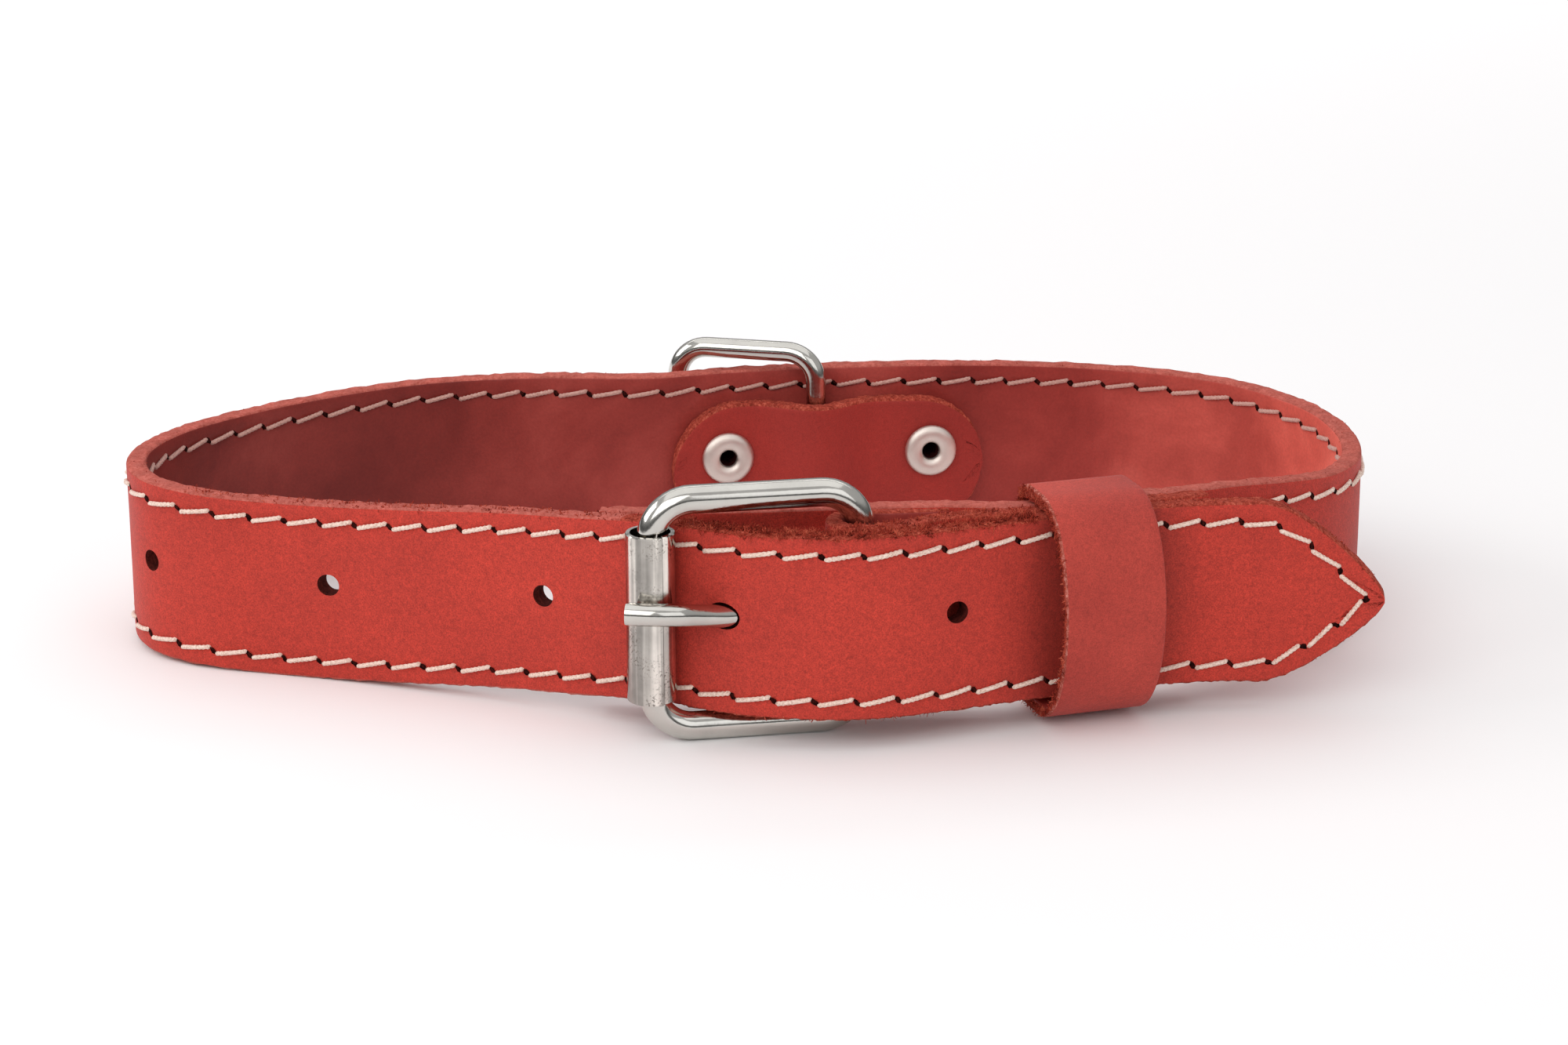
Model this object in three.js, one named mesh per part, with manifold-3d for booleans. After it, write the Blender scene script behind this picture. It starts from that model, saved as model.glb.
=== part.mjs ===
// Leather dog collar, fastened: a strap with a roller buckle, a keeper and a lead ring under a riveted tab.
// Millimetres, +Z up. The collar stands on its edge, with the buckle at the front, toward -Y.

import * as THREE from 'three';
import { mergeVertices } from 'three/addons/utils/BufferGeometryUtils.js';
import Module from 'manifold-3d';

const wasm = await Module();
wasm.setup();

// Clearances
const gap = 0.3;                 // between pieces that lie against each other
const cornerGap = 0.15;          // between leather edges and the bends of the wire

// Strap
const strapWidth = 25;
const leather = 2.8;
const loopWidth = 170;           // left to right, on the strap's middle line
const loopDepth = 90;            // roller to the back, on the strap's middle line
const strapStep = 3.2;           // length of one straight piece of the strap
const searchStep = 0.2;          // in looking for a place along it
const punchSides = 20;
const holeDiameter = 3;
const holeSpacing = 29.6;
const holeSteps = [-2.97, -2.06, -0.97, 0.97];   // free holes, in spacings from the prong's hole
const holeRise = 1.1;            // of the row of holes above the strap's middle
const pointLength = 15.2;        // length of the strap's pointed end
const pointBlunt = 1.2;          // half height of its very tip
const pointBow = 0.5;            // how far its edges bow out, as a share
const guardReach = 12.4;         // the inner end of the strap, left of the roller
const entryTurn = -28.5;         // degrees, of the strap's outer end where it passes the roller
const entryReach = 14;           // how far it keeps that direction before the roller
const exitReach = 6;             // and after it

// Buckle
const frameWire = 3.8;
const frameHeight = 34.8;
const frameReach = 27.7;           // roller post to hinge post, between middles
const frameBend = 5.4;           // radius of the wire's middle line at a corner
const frameTurn = 10.2;          // degrees that the hinge post stands back
const rollerDiameter = 6.6;
const rollerSheet = 0.5;
const rollerLength = 22.8;
const rollerSeam = 0.35;         // open seam of the rolled tube
const rollerSeamTurn = -59;      // degrees from the right, towards the front
const prongThickness = 3;
const prongStep = 2;
const prongSides = 12;
const prongTip = 0.85;           // of its radius, at the very tip
const prongOverhang = 3.1;       // past the roller's middle
const prongRise = 1.9;           // of its tip over its eye
const prongEye = 1.8;            // thickness of the eye's wall

// Chape, the folded leather that holds the buckle
const skivedLeather = 1.6;
const skivedReach = 11.5;
const chapeReach = 47.5;         // hinge post to the chape's right end
const chapeBulge = 0.25;         // of its outer limb past the hinge post, as a share of the fold's radius
const chapeStep = 2.6;
const foldSteps = 12;
const chapeShoulder = 8;         // over which the chape widens from its fold
const foldGap = 0.6;             // between the fold and the hinge post

// Keeper
const keeperWidth = 14;
const keeperLeather = 2;
const keeperRound = 4;           // rounding of its back corners, outside
const keeperInnerRound = 0.8;    // and inside
const keeperFromHinge = 30.5;    // hinge post to the keeper's middle, left to right
const keeperBack = 3.1;          // how far back the strap's middle line lies there
const keeperTurn = 17.5;         // degrees
const keeperBelly = 6;           // how far its front stands off the strap
const keeperSlack = 0.3;         // over the strap's upper edge, where the keeper hangs
const keeperSag = 1.2;           // under its lower edge
const keeperThinned = 0.35;      // leather left at the belly's middle, as a share, beside the belly's own
const keeperEase = 2.5;          // how far beyond it the layers stay straight
const tongueReach = 39.5;        // keeper's middle to the tip of the strap

// Ring, tab and rivets
const ringWire = 3;
const ringHeight = 33;
const ringReach = 21.3;          // between the middles of its two upright bars
const ringShift = 1.6;           // of its inner bar, left of the tab's middle
const ringSlack = 0.6;           // strap above the ring's lower arm
const backBow = 0.8;             // the strap's bow outward at the ring's inner bar
const ringCorner = 6;            // outer radius
const tabLength = 46.6;
const tabHeight = 20.6;
const tabDrop = 2.1;             // of the tab below the strap's middle
const tabCorner = 9.9;
const tabLeather = 2.6;
const tabTurn = 7.4;             // degrees
const tabPlace = { across: 0.1365, back: 0.917 };   // of its middle, as shares of the loop
const rivetSpacing = 30.8;
const rivetHead = 7.8;
const rivetShank = 4;
const rivetHollow = 2.3;
const rivetRim = 0.9;
const rivetDome = 1.3;
const rivetSides = 18;
const rivetSeat = 0.4;           // between a head and the bent leather under it

// Sizes that follow
const pitch = leather + gap;
const buckleLift = frameWire + gap;
const ringLift = ringWire + ringSlack;
const buckleMiddle = frameHeight / 2;
const stackMiddle = buckleLift + strapWidth / 2;
const tabMiddle = ringLift + strapWidth / 2;
const degree = Math.PI / 180;

const leatherRed = new THREE.MeshStandardMaterial({ color: 0xc2403a, roughness: 0.75, metalness: 0 });
const keeperRed = new THREE.MeshStandardMaterial({ color: 0xb94344, roughness: 0.7, metalness: 0 });
const nickel = new THREE.MeshStandardMaterial({ color: 0xc9c6c0, roughness: 0.25, metalness: 1 });
const rivetMetal = new THREE.MeshStandardMaterial({ color: 0xc4b7ae, roughness: 0.35, metalness: 1 });

// Plan vectors: x to the right, y to the back, and the lift of the strap's lower edge as z
const at = (x, y, lift = 0) => new THREE.Vector3(x, y, lift);
const heading = (degrees) => at(Math.cos(degrees * degree), Math.sin(degrees * degree));
const leftOf = (direction) => at(-direction.y, direction.x);
const along = (start, direction, distance) => start.clone().addScaledVector(direction, distance);
const raised = (point, lift) => at(point.x, point.y, lift);

// A closed body from rings of points, open with end caps or joined end to start
function loft(rings, joined = false) {
  const sides = rings[0].length;
  const positions = rings.flat().flatMap((p) => [p.x, p.y, p.z]);
  const index = [];
  const spans = joined ? rings.length : rings.length - 1;
  for (let i = 0; i < spans; i += 1) {
    const next = (i + 1) % rings.length;
    for (let k = 0; k < sides; k += 1) {
      const a = i * sides + k;
      const b = i * sides + ((k + 1) % sides);
      const c = next * sides + k;
      const d = next * sides + ((k + 1) % sides);
      index.push(a, b, d, a, d, c);
    }
  }
  if (!joined) {
    const last = (rings.length - 1) * sides;
    for (let k = 1; k < sides - 1; k += 1) {
      index.push(0, k + 1, k);
      index.push(last, last + k, last + k + 1);
    }
  }
  const geometry = new THREE.BufferGeometry();
  geometry.setAttribute('position', new THREE.Float32BufferAttribute(positions, 3));
  geometry.setIndex(index);
  return facingOut(geometry);
}

// Turns a closed body's faces outward
function facingOut(geometry) {
  const p = geometry.attributes.position;
  const index = geometry.index.array;
  const a = new THREE.Vector3();
  const b = new THREE.Vector3();
  const c = new THREE.Vector3();
  let volume = 0;
  for (let i = 0; i < index.length; i += 3) {
    a.fromBufferAttribute(p, index[i]);
    b.fromBufferAttribute(p, index[i + 1]);
    c.fromBufferAttribute(p, index[i + 2]);
    volume += a.dot(b.cross(c));
  }
  if (volume < 0) {
    for (let i = 0; i < index.length; i += 3) {
      [index[i], index[i + 1]] = [index[i + 1], index[i]];
    }
  }
  return geometry;
}

// Joins and cuts
function solid(geometry) {
  const plain = geometry.clone();
  plain.deleteAttribute('normal');
  plain.deleteAttribute('uv');
  const merged = mergeVertices(plain, 1e-4);
  return new wasm.Manifold(new wasm.Mesh({
    numProp: 3,
    vertProperties: new Float32Array(merged.attributes.position.array),
    triVerts: new Uint32Array(merged.index.array),
  }));
}

function toGeometry(manifold) {
  const mesh = manifold.getMesh();
  const geometry = new THREE.BufferGeometry();
  geometry.setAttribute('position', new THREE.Float32BufferAttribute(mesh.vertProperties, 3));
  geometry.setIndex(Array.from(mesh.triVerts));
  return geometry;
}

function cut(geometry, ...tools) {
  return toGeometry(tools.reduce((body, tool) => body.subtract(solid(tool)), solid(geometry)));
}

function joined(...geometries) {
  const [first, ...rest] = geometries.map(solid);
  return toGeometry(rest.reduce((body, other) => body.add(other), first));
}

// Points along a smooth curve, about one step apart
function smooth(points, step) {
  const curve = new THREE.CatmullRomCurve3(points, false, 'centripetal');
  curve.arcLengthDivisions = 1200;
  return curve.getSpacedPoints(Math.round(curve.getLength() / step));
}

// Plan direction of a row of points at one of them
function directionAt(points, i) {
  const before = points[Math.max(i - 1, 0)];
  const after = points[Math.min(i + 1, points.length - 1)];
  return at(after.x - before.x, after.y - before.y).normalize();
}

// An upright leather band along a row of plan points, with its own thickness and height at each
function band(points, thicknessAt, bottomAt, topAt) {
  const rings = points.map((point, i) => {
    const inward = leftOf(directionAt(points, i));
    const half = thicknessAt(i) / 2;
    const inner = along(point, inward, half);
    const outer = along(point, inward, -half);
    return [
      new THREE.Vector3(outer.x, outer.y, bottomAt(i)),
      new THREE.Vector3(outer.x, outer.y, topAt(i)),
      new THREE.Vector3(inner.x, inner.y, topAt(i)),
      new THREE.Vector3(inner.x, inner.y, bottomAt(i)),
    ];
  });
  return loft(rings);
}

// A closed loop of round wire with four bends, in the plane of u (across) and z
function wireLoop(origin, u, reach, bottom, top, bend, wire, sides) {
  const across = leftOf(u);
  const corners = [
    [bend, bottom + bend, 180],
    [reach - bend, bottom + bend, 270],
    [reach - bend, top - bend, 0],
    [bend, top - bend, 90],
  ];
  const rings = [];
  for (const [cu, cz, start] of corners) {
    for (let step = 0; step <= 6; step += 1) {
      const angle = (start + step * 15) * degree;
      const ring = [];
      for (let k = 0; k < sides; k += 1) {
        const turn = (2 * Math.PI * k) / sides;
        const radius = bend + (wire / 2) * Math.cos(turn);
        const place = along(origin, u, cu + radius * Math.cos(angle));
        const point = along(place, across, (wire / 2) * Math.sin(turn));
        ring.push(new THREE.Vector3(point.x, point.y, cz + radius * Math.sin(angle)));
      }
      rings.push(ring);
    }
  }
  return loft(rings, true);
}

// A round bar through a row of points, with its own radius at each
function roundBar(points, radiusAt, sides) {
  const up = new THREE.Vector3(0, 0, 1);
  const rings = points.map((point, i) => {
    const side = leftOf(directionAt(points, i));
    const ring = [];
    for (let k = 0; k < sides; k += 1) {
      const turn = (2 * Math.PI * k) / sides;
      const place = point.clone().addScaledVector(side, radiusAt(i) * Math.cos(turn));
      ring.push(place.addScaledVector(up, radiusAt(i) * Math.sin(turn)));
    }
    return ring;
  });
  return loft(rings);
}

// A body turned about an axis that lies flat at a height, pointing along a plan direction
function turnedAlong(profile, place, direction, height, sides) {
  const geometry = new THREE.LatheGeometry(profile, sides);
  const spin = Math.atan2(direction.y, direction.x) - Math.PI / 2;
  geometry.rotateZ(spin);
  geometry.translate(place.x, place.y, height);
  return facingOut(mergeVertices(bare(geometry), 1e-4));
}

function bare(geometry) {
  geometry.deleteAttribute('normal');
  geometry.deleteAttribute('uv');
  return geometry;
}

// A round punch through the strap, standing across it
function punch(place, direction, height, diameter, depth) {
  const geometry = new THREE.CylinderGeometry(diameter / 2, diameter / 2, depth, punchSides);
  geometry.rotateZ(Math.atan2(direction.y, direction.x));
  geometry.translate(place.x, place.y, height);
  return geometry;
}

// Places around the buckle: the roller's middle is the plan origin
const roller = at(0, 0);
const frameAcross = heading(frameTurn);
const hinge = along(roller, frameAcross, frameReach);
const entryDirection = heading(entryTurn);
const entry = along(roller, leftOf(entryDirection), rollerDiameter / 2 + gap + leather / 2);
const keeperDirection = heading(keeperTurn);
const keeper = at(hinge.x + keeperFromHinge, hinge.y + keeperBack);
const keeperIn = leftOf(keeperDirection);
const straightReach = keeperWidth / 2 + keeperEase;
const foldRadius = frameWire / 2 + foldGap + leather / 2;
const tongueOverFold = foldRadius + pitch;

// Places at the back
const tabDirection = heading(tabTurn);
const tabCentre = at(tabPlace.across * loopWidth, tabPlace.back * loopDepth);
const backMiddle = raised(along(tabCentre, leftOf(tabDirection), backBow), ringLift);
const rivetRight = raised(along(tabCentre, tabDirection, rivetSpacing / 2), ringLift);
const rivetLeft = raised(along(tabCentre, tabDirection, -rivetSpacing / 2), ringLift);

// The strap's middle line away from the buckle, as shares of the loop's width and depth,
// with the lift of its lower edge as a share of the lift at the buckle
const rightSide = [
  { across: 0.413, back: 0.216, lift: 0.86 },
  { across: 0.458, back: 0.272, lift: 0.7 },
  { across: 0.501, back: 0.329, lift: 0.45 },
  { across: 0.541, back: 0.400, lift: 0.2 },
  { across: 0.567, back: 0.489, lift: 0.1 },
  { across: 0.576, back: 0.582, lift: 0.05 },
  { across: 0.574, back: 0.675, lift: 0.05 },
  { across: 0.563, back: 0.763, lift: 0.07 },
  { across: 0.539, back: 0.850, lift: 0.1 },
  { across: 0.501, back: 0.931, lift: 0.15 },
  { across: 0.445, back: 0.982, lift: 0.24 },
  { across: 0.381, back: 1.0, lift: 0.37 },
  { across: 0.316, back: 0.983, lift: 0.59 },
];
const leftSide = [
  { across: -0.014, back: 0.871, lift: 0.83 },
  { across: -0.058, back: 0.880, lift: 0.78 },
  { across: -0.111, back: 0.903, lift: 0.66 },
  { across: -0.176, back: 0.922, lift: 0.46 },
  { across: -0.236, back: 0.911, lift: 0.31 },
  { across: -0.314, back: 0.842, lift: 0.18 },
  { across: -0.369, back: 0.761, lift: 0.12 },
  { across: -0.411, back: 0.662, lift: 0.14 },
  { across: -0.431, back: 0.553, lift: 0.2 },
  { across: -0.430, back: 0.461, lift: 0.22 },
  { across: -0.411, back: 0.386, lift: 0.18 },
  { across: -0.369, back: 0.335, lift: 0.08 },
  { across: -0.311, back: 0.305, lift: 0.01 },
  { across: -0.252, back: 0.272, lift: 0.06 },
  { across: -0.187, back: 0.228, lift: 0.24 },
  { across: -0.122, back: 0.181, lift: 0.48 },
];
const onLoop = (row) => at(row.across * loopWidth, row.back * loopDepth, row.lift * buckleLift);

// The strap lies three deep at the keeper: tongue outside, chape in the middle, strap inside
const stackPoint = (reach, layer) => (
  raised(along(along(keeper, keeperDirection, reach), keeperIn, layer * pitch), buckleLift)
);

// The strap's inner end, as shares of the way from its cut end to the hinge post
const guardRows = [
  { across: 0, back: 0, lift: 0.7 },
  { across: 0.5, back: 0.8, lift: 0.85 },
  { across: 1, back: 1, lift: 1 },
];

// From there it goes behind the chape to the keeper
function guardPoints() {
  const cutEnd = along(along(entry, entryDirection, -guardReach), leftOf(entryDirection), pitch);
  const behindHinge = hinge.y + frameWire / 2 + foldGap + skivedLeather + gap + leather / 2;
  const toHinge = guardRows.map((row) => at(
    THREE.MathUtils.lerp(cutEnd.x, hinge.x, row.across),
    THREE.MathUtils.lerp(cutEnd.y, behindHinge, row.back),
    row.lift * buckleLift,
  ));
  return [
    ...toHinge,
    at(hinge.x + skivedReach, behindHinge + skivedLeather / 2, buckleLift),
    stackPoint(-straightReach, 2),
    stackPoint(0, 2),
    stackPoint(keeperWidth / 2 - keeperEase / 2, 2),
  ];
}

// The strap's outer end inside the frame, as shares of the frame's reach
const frameRows = [
  { across: 0.455, back: -0.02 },
  { across: 0.675, back: -0.068 },
];

// Its way over the chape's fold, right of the hinge post as shares of the fold's radius
const foldRows = [
  { across: -0.4, ahead: 1.02 },
  { across: 1.2, ahead: 0.86 },
];

// Its free end past the keeper, as shares of what is left of its length
const freeRows = [
  { across: 0.27, back: 0.045, lift: 1 },
  { across: 0.54, back: 0.06, lift: 0.95 },
  { across: 0.78, back: 0.05, lift: 0.88 },
  { across: 1, back: 0.03, lift: 0.78 },
];

// Outer end of the strap: behind the roller, through the frame, over the fold, under the keeper, to its tip
function tonguePoints() {
  const tail = along(keeper, keeperDirection, straightReach);
  const rest = tongueReach - straightReach;
  return [
    raised(along(entry, entryDirection, -entryReach), guardRows[0].lift * buckleLift),
    raised(entry, buckleLift),
    raised(along(entry, entryDirection, exitReach), buckleLift),
    ...frameRows.map((row) => at(row.across * frameReach, row.back * frameReach, buckleLift)),
    ...foldRows.map((row) => (
      at(hinge.x + row.across * foldRadius, hinge.y - row.ahead * tongueOverFold, buckleLift)
    )),
    stackPoint(-straightReach, 0),
    stackPoint(0, 0),
    stackPoint(straightReach, 0),
    ...freeRows.map((row) => (
      at(tail.x + row.across * rest, tail.y + row.back * rest, row.lift * buckleLift)
    )),
  ];
}

const strapPoints = smooth([
  ...guardPoints(),
  ...rightSide.map(onLoop),
  rivetRight,
  backMiddle,
  rivetLeft,
  ...leftSide.map(onLoop),
  ...tonguePoints(),
], strapStep);

// Half height of the strap near its pointed end
function strapHalfHeight(distanceToTip) {
  const share = Math.min(distanceToTip / pointLength, 1);
  const bowed = share + pointBow * share * (1 - share);
  return pointBlunt + (strapWidth / 2 - pointBlunt) * Math.min(bowed, 1);
}

// Distances along the strap from its inner end
const strapDistances = strapPoints.reduce((list, point, i) => {
  const step = i === 0 ? 0 : Math.hypot(point.x - strapPoints[i - 1].x, point.y - strapPoints[i - 1].y);
  return [...list, (list[i - 1] ?? 0) + step];
}, []);
const strapLength = strapDistances.at(-1);

// A place on the strap's middle line at a distance from its inner end
function strapPlace(distance) {
  const found = strapDistances.findIndex((d) => d >= distance);
  const i = Math.min(Math.max(found, 1), strapPoints.length - 1);
  const share = (distance - strapDistances[i - 1]) / (strapDistances[i] - strapDistances[i - 1]);
  return strapPoints[i - 1].clone().lerp(strapPoints[i], share);
}

// The strap's plan direction there, evened out over a short length
function strapDirection(distance) {
  const before = strapPlace(distance - strapStep);
  const after = strapPlace(distance + strapStep);
  return at(after.x - before.x, after.y - before.y).normalize();
}

// The distance along the strap at which it passes nearest to a plan place
function strapDistanceNear(target, from = 0, to = strapLength) {
  let best = { distance: from, apart: Infinity };
  for (let distance = from; distance < to; distance += searchStep) {
    const place = strapPlace(distance);
    const apart = Math.hypot(place.x - target.x, place.y - target.y);
    if (apart < best.apart) {
      best = { distance, apart };
    }
  }
  return best.distance;
}

// The prong's middle line, from its blunt tip over the roller and through the strap to the hinge post:
// shares of the frame's reach, of the prong's stand-off or the hinge's setback, and of its rise
const prongRadius = prongThickness / 2;
const prongOff = rollerDiameter / 2 + gap + prongRadius;
const prongEyeRadius = frameWire / 2 + gap;
const prongRows = [
  { across: 0, ahead: 1, rise: 0.85 },
  { across: 0.17, ahead: 0.8, rise: 0.5 },
  { across: 0.33, ahead: 0.17, rise: 0.12 },
  { across: 0.54, back: 0.42, rise: 0 },
  { across: 0.75, back: 0.82, rise: 0 },
];
const prongPoints = smooth([
  at(-prongOverhang, -prongOff + gap, buckleMiddle + prongRise),
  ...prongRows.map(({ across, ahead = 0, back = 0, rise }) => (
    at(across * frameReach, back * hinge.y - ahead * prongOff, buckleMiddle + rise * prongRise)
  )),
  at(hinge.x - prongEyeRadius - prongEye / 4, hinge.y, buckleMiddle),
], prongStep);

// Where the prong's middle line meets the strap's, measured along the strap
function prongCrossing() {
  const apartFrom = (point, distance) => {
    const place = strapPlace(distance);
    return Math.hypot(place.x - point.x, place.y - point.y);
  };
  const crossings = prongPoints.map((point) => {
    const distance = strapDistanceNear(point, strapLength / 2);
    return { distance, apart: apartFrom(point, distance) };
  });
  crossings.sort((a, b) => a.apart - b.apart);
  return crossings[0].distance;
}
const prongHoleAt = prongCrossing();

// The hole for a rivet's shank, through whatever leather lies there
function rivetPunch(place) {
  const size = rivetShank + 2 * gap;
  const direction = strapDirection(strapDistanceNear(place));
  return punch(place, direction, tabMiddle, size, 8 * leather);
}

function makeStrap() {
  const heightHere = (i) => strapHalfHeight(strapLength - strapDistances[i]);
  const middleHere = (i) => strapPoints[i].z + strapWidth / 2;
  const body = band(
    strapPoints,
    () => leather,
    (i) => middleHere(i) - heightHere(i),
    (i) => middleHere(i) + heightHere(i),
  );
  const freeHoles = holeSteps.map((step) => {
    const distance = prongHoleAt + step * holeSpacing;
    const place = strapPlace(distance);
    const height = place.z + strapWidth / 2 + holeRise;
    return punch(place, strapDirection(distance), height, holeDiameter, 3 * leather);
  });
  const prongHole = facingOut(roundBar(prongPoints, () => prongRadius + gap, prongSides));
  return cut(body, prongHole, ...freeHoles, rivetPunch(rivetLeft), rivetPunch(rivetRight));
}

// At the fold the chape's edges clear the frame's bends
function foldEdges() {
  const fromBend = frameBend - frameWire / 2 - foldGap;
  const reach = Math.sqrt(Math.max((frameBend - frameWire / 2 - cornerGap) ** 2 - fromBend ** 2, 0));
  const lowerBend = frameWire / 2 + frameBend;
  const upperBend = frameHeight - lowerBend;
  return {
    bottom: Math.max(buckleLift, lowerBend - reach),
    top: Math.min(buckleLift + strapWidth, upperBend + reach),
  };
}
const fold = foldEdges();

// The thinned inner limb, as shares of its reach and of its thickness
const skivedLimb = [
  { out: 0.33, back: 0.06, thick: 1 },
  { out: 0.66, back: 0.19, thick: 0.8 },
  { out: 1, back: 0.44, thick: 0.5 },
];

// The outer limb from its bulge to the fold, right of the hinge post, as shares of the fold's radius
const outerLimb = [
  { across: 2.7, ahead: -chapeBulge },
  { across: 1.2, ahead: 0.7 },
  { across: 0, ahead: 1 },
];

// The chape: a long outer limb, a half turn round the hinge post and a short thinned inner limb
function chapeRows() {
  const rows = [];
  const chapeEnd = chapeReach - keeperFromHinge;
  const outer = smooth([
    stackPoint(chapeEnd, 1),
    stackPoint(straightReach, 1),
    stackPoint(0, 1),
    stackPoint(-straightReach, 1),
    ...outerLimb.map((row) => at(hinge.x + row.across * foldRadius, hinge.y - row.ahead * foldRadius)),
  ], chapeStep);
  for (const point of outer) {
    const share = THREE.MathUtils.clamp((point.x - hinge.x) / chapeShoulder, 0, 1);
    const bottom = THREE.MathUtils.lerp(fold.bottom, buckleLift, share);
    const top = THREE.MathUtils.lerp(fold.top, buckleLift + strapWidth, share);
    rows.push({ point, thickness: leather, bottom, top });
  }
  for (let k = 1; k <= foldSteps; k += 1) {
    const share = k / foldSteps;
    const thickness = leather + (skivedLeather - leather) * share;
    const radius = frameWire / 2 + foldGap + thickness / 2;
    const angle = -Math.PI / 2 - Math.PI * share;
    const point = at(hinge.x + radius * Math.cos(angle), hinge.y + radius * Math.sin(angle));
    rows.push({ point, thickness, ...fold });
  }
  const limbY = hinge.y + frameWire / 2 + foldGap + skivedLeather / 2;
  for (const row of skivedLimb) {
    const point = at(hinge.x + row.out * skivedReach, limbY + row.back * skivedLeather);
    rows.push({ point, thickness: row.thick * skivedLeather, ...fold });
  }
  return rows;
}

function makeChape() {
  const rows = chapeRows();
  const body = band(
    rows.map((row) => row.point),
    (i) => rows[i].thickness,
    (i) => rows[i].bottom,
    (i) => rows[i].top,
  );
  const slotLength = 2 * (frameWire / 2 + gap + prongThickness + gap + leather);
  const slot = new THREE.BoxGeometry(slotLength, slotLength, prongThickness + 4 * gap);
  slot.translate(hinge.x - 0.25 * leather, hinge.y, buckleMiddle);
  return cut(body, slot);
}

// The buckle's bent wire frame
function makeFrame() {
  const low = frameWire / 2;
  return wireLoop(roller, frameAcross, frameReach, low, frameHeight - low, frameBend, frameWire, 12);
}

// The rolled tube on the frame's front post, with its open seam
function makeRoller() {
  const outer = rollerDiameter / 2;
  const inner = outer - rollerSheet;
  const half = rollerSeam / 2 / outer;
  const outline = new THREE.Shape();
  outline.absarc(0, 0, outer, half, 2 * Math.PI - half, false);
  outline.absarc(0, 0, inner, 2 * Math.PI - half, half, true);
  outline.closePath();
  const options = { depth: rollerLength, bevelEnabled: false, curveSegments: 28 };
  const geometry = new THREE.ExtrudeGeometry(outline, options);
  geometry.rotateZ(rollerSeamTurn * degree);
  geometry.translate(roller.x, roller.y, buckleMiddle - rollerLength / 2);
  return geometry;
}

// The prong: a bar with a blunt end and an eye round the hinge post
function makeProng() {
  const bar = roundBar(prongPoints, (i) => (i === 0 ? prongTip : 1) * prongRadius, prongSides);
  const inner = prongEyeRadius;
  const outer = inner + prongEye;
  const half = prongRadius;
  const profile = [
    new THREE.Vector2(inner, -half),
    new THREE.Vector2(outer, -half),
    new THREE.Vector2(outer, half),
    new THREE.Vector2(inner, half),
    new THREE.Vector2(inner, -half),
  ];
  const eye = new THREE.LatheGeometry(profile, 24);
  eye.rotateX(Math.PI / 2);
  eye.translate(hinge.x, hinge.y, buckleMiddle);
  return joined(facingOut(bar), facingOut(mergeVertices(bare(eye), 1e-4)));
}

// The keeper: a closed leather loop round the three layers, with a rounded front
function makeKeeper() {
  const back = 2 * pitch + leather / 2 + gap;
  const front = -(leather / 2 + gap);
  const top = strapWidth / 2 + keeperSlack;
  const bottom = -strapWidth / 2 - keeperSag;
  const hole = keeperOutline(back, front, bottom, top, keeperInnerRound);
  const outline = keeperOutline(
    back + keeperLeather,
    front - keeperThinned * keeperLeather,
    bottom - keeperLeather,
    top + keeperLeather,
    keeperRound,
  );
  const shape = new THREE.Shape(outline.getPoints(10));
  shape.holes.push(new THREE.Path(hole.getPoints(10)));
  const geometry = new THREE.ExtrudeGeometry(shape, { depth: keeperWidth, bevelEnabled: false });
  geometry.translate(0, 0, -keeperWidth / 2);
  const basis = new THREE.Matrix4().makeBasis(keeperIn, new THREE.Vector3(0, 0, 1), keeperDirection);
  geometry.applyMatrix4(basis);
  geometry.translate(keeper.x, keeper.y, stackMiddle);
  return geometry;
}

// One closed outline of the keeper's section: flat back, rounded corners and a bellied front
function keeperOutline(back, front, bottom, top, corner) {
  const middle = (bottom + top) / 2;
  const half = (top - bottom) / 2;
  const outline = new THREE.Path();
  outline.moveTo(back, bottom + corner);
  outline.lineTo(back, top - corner);
  outline.quadraticCurveTo(back, top, back - corner, top);
  outline.lineTo(front + corner, top);
  outline.bezierCurveTo(
    front - 0.3 * keeperBelly, top,
    front - keeperBelly, middle + 0.55 * half,
    front - keeperBelly, middle,
  );
  outline.bezierCurveTo(
    front - keeperBelly, middle - 0.55 * half,
    front - 0.3 * keeperBelly, bottom,
    front + corner, bottom,
  );
  outline.lineTo(back - corner, bottom);
  outline.quadraticCurveTo(back, bottom, back, bottom + corner);
  return outline;
}

// The ring's upright bar stands off the strap so that its bends clear the strap's edges
const ringBend = ringCorner - ringWire / 2;
function ringStandOff() {
  const edge = ringWire / 2 + ringSlack;
  const room = (ringBend - ringWire / 2 - cornerGap) ** 2 - (ringBend - edge) ** 2;
  const clearOfEdge = ringBend - Math.sqrt(Math.max(room, 0));
  return Math.max(clearOfEdge, ringWire / 2 + gap);
}
const barOff = leather / 2 + ringStandOff();
const ringBar = along(along(backMiddle, leftOf(tabDirection), -barOff), tabDirection, -ringShift);

// At rest the ring lies against the outside of the strap, swung to the left
const ringLean = Math.asin((barOff + leather / 2 + gap + ringWire / 2) / ringReach) / degree;
const ringDirection = heading(180 + tabTurn - ringLean);

function makeRing() {
  const low = ringWire / 2;
  return wireLoop(ringBar, ringDirection, ringReach, low, ringHeight - low, ringBend, ringWire, 10);
}

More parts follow.
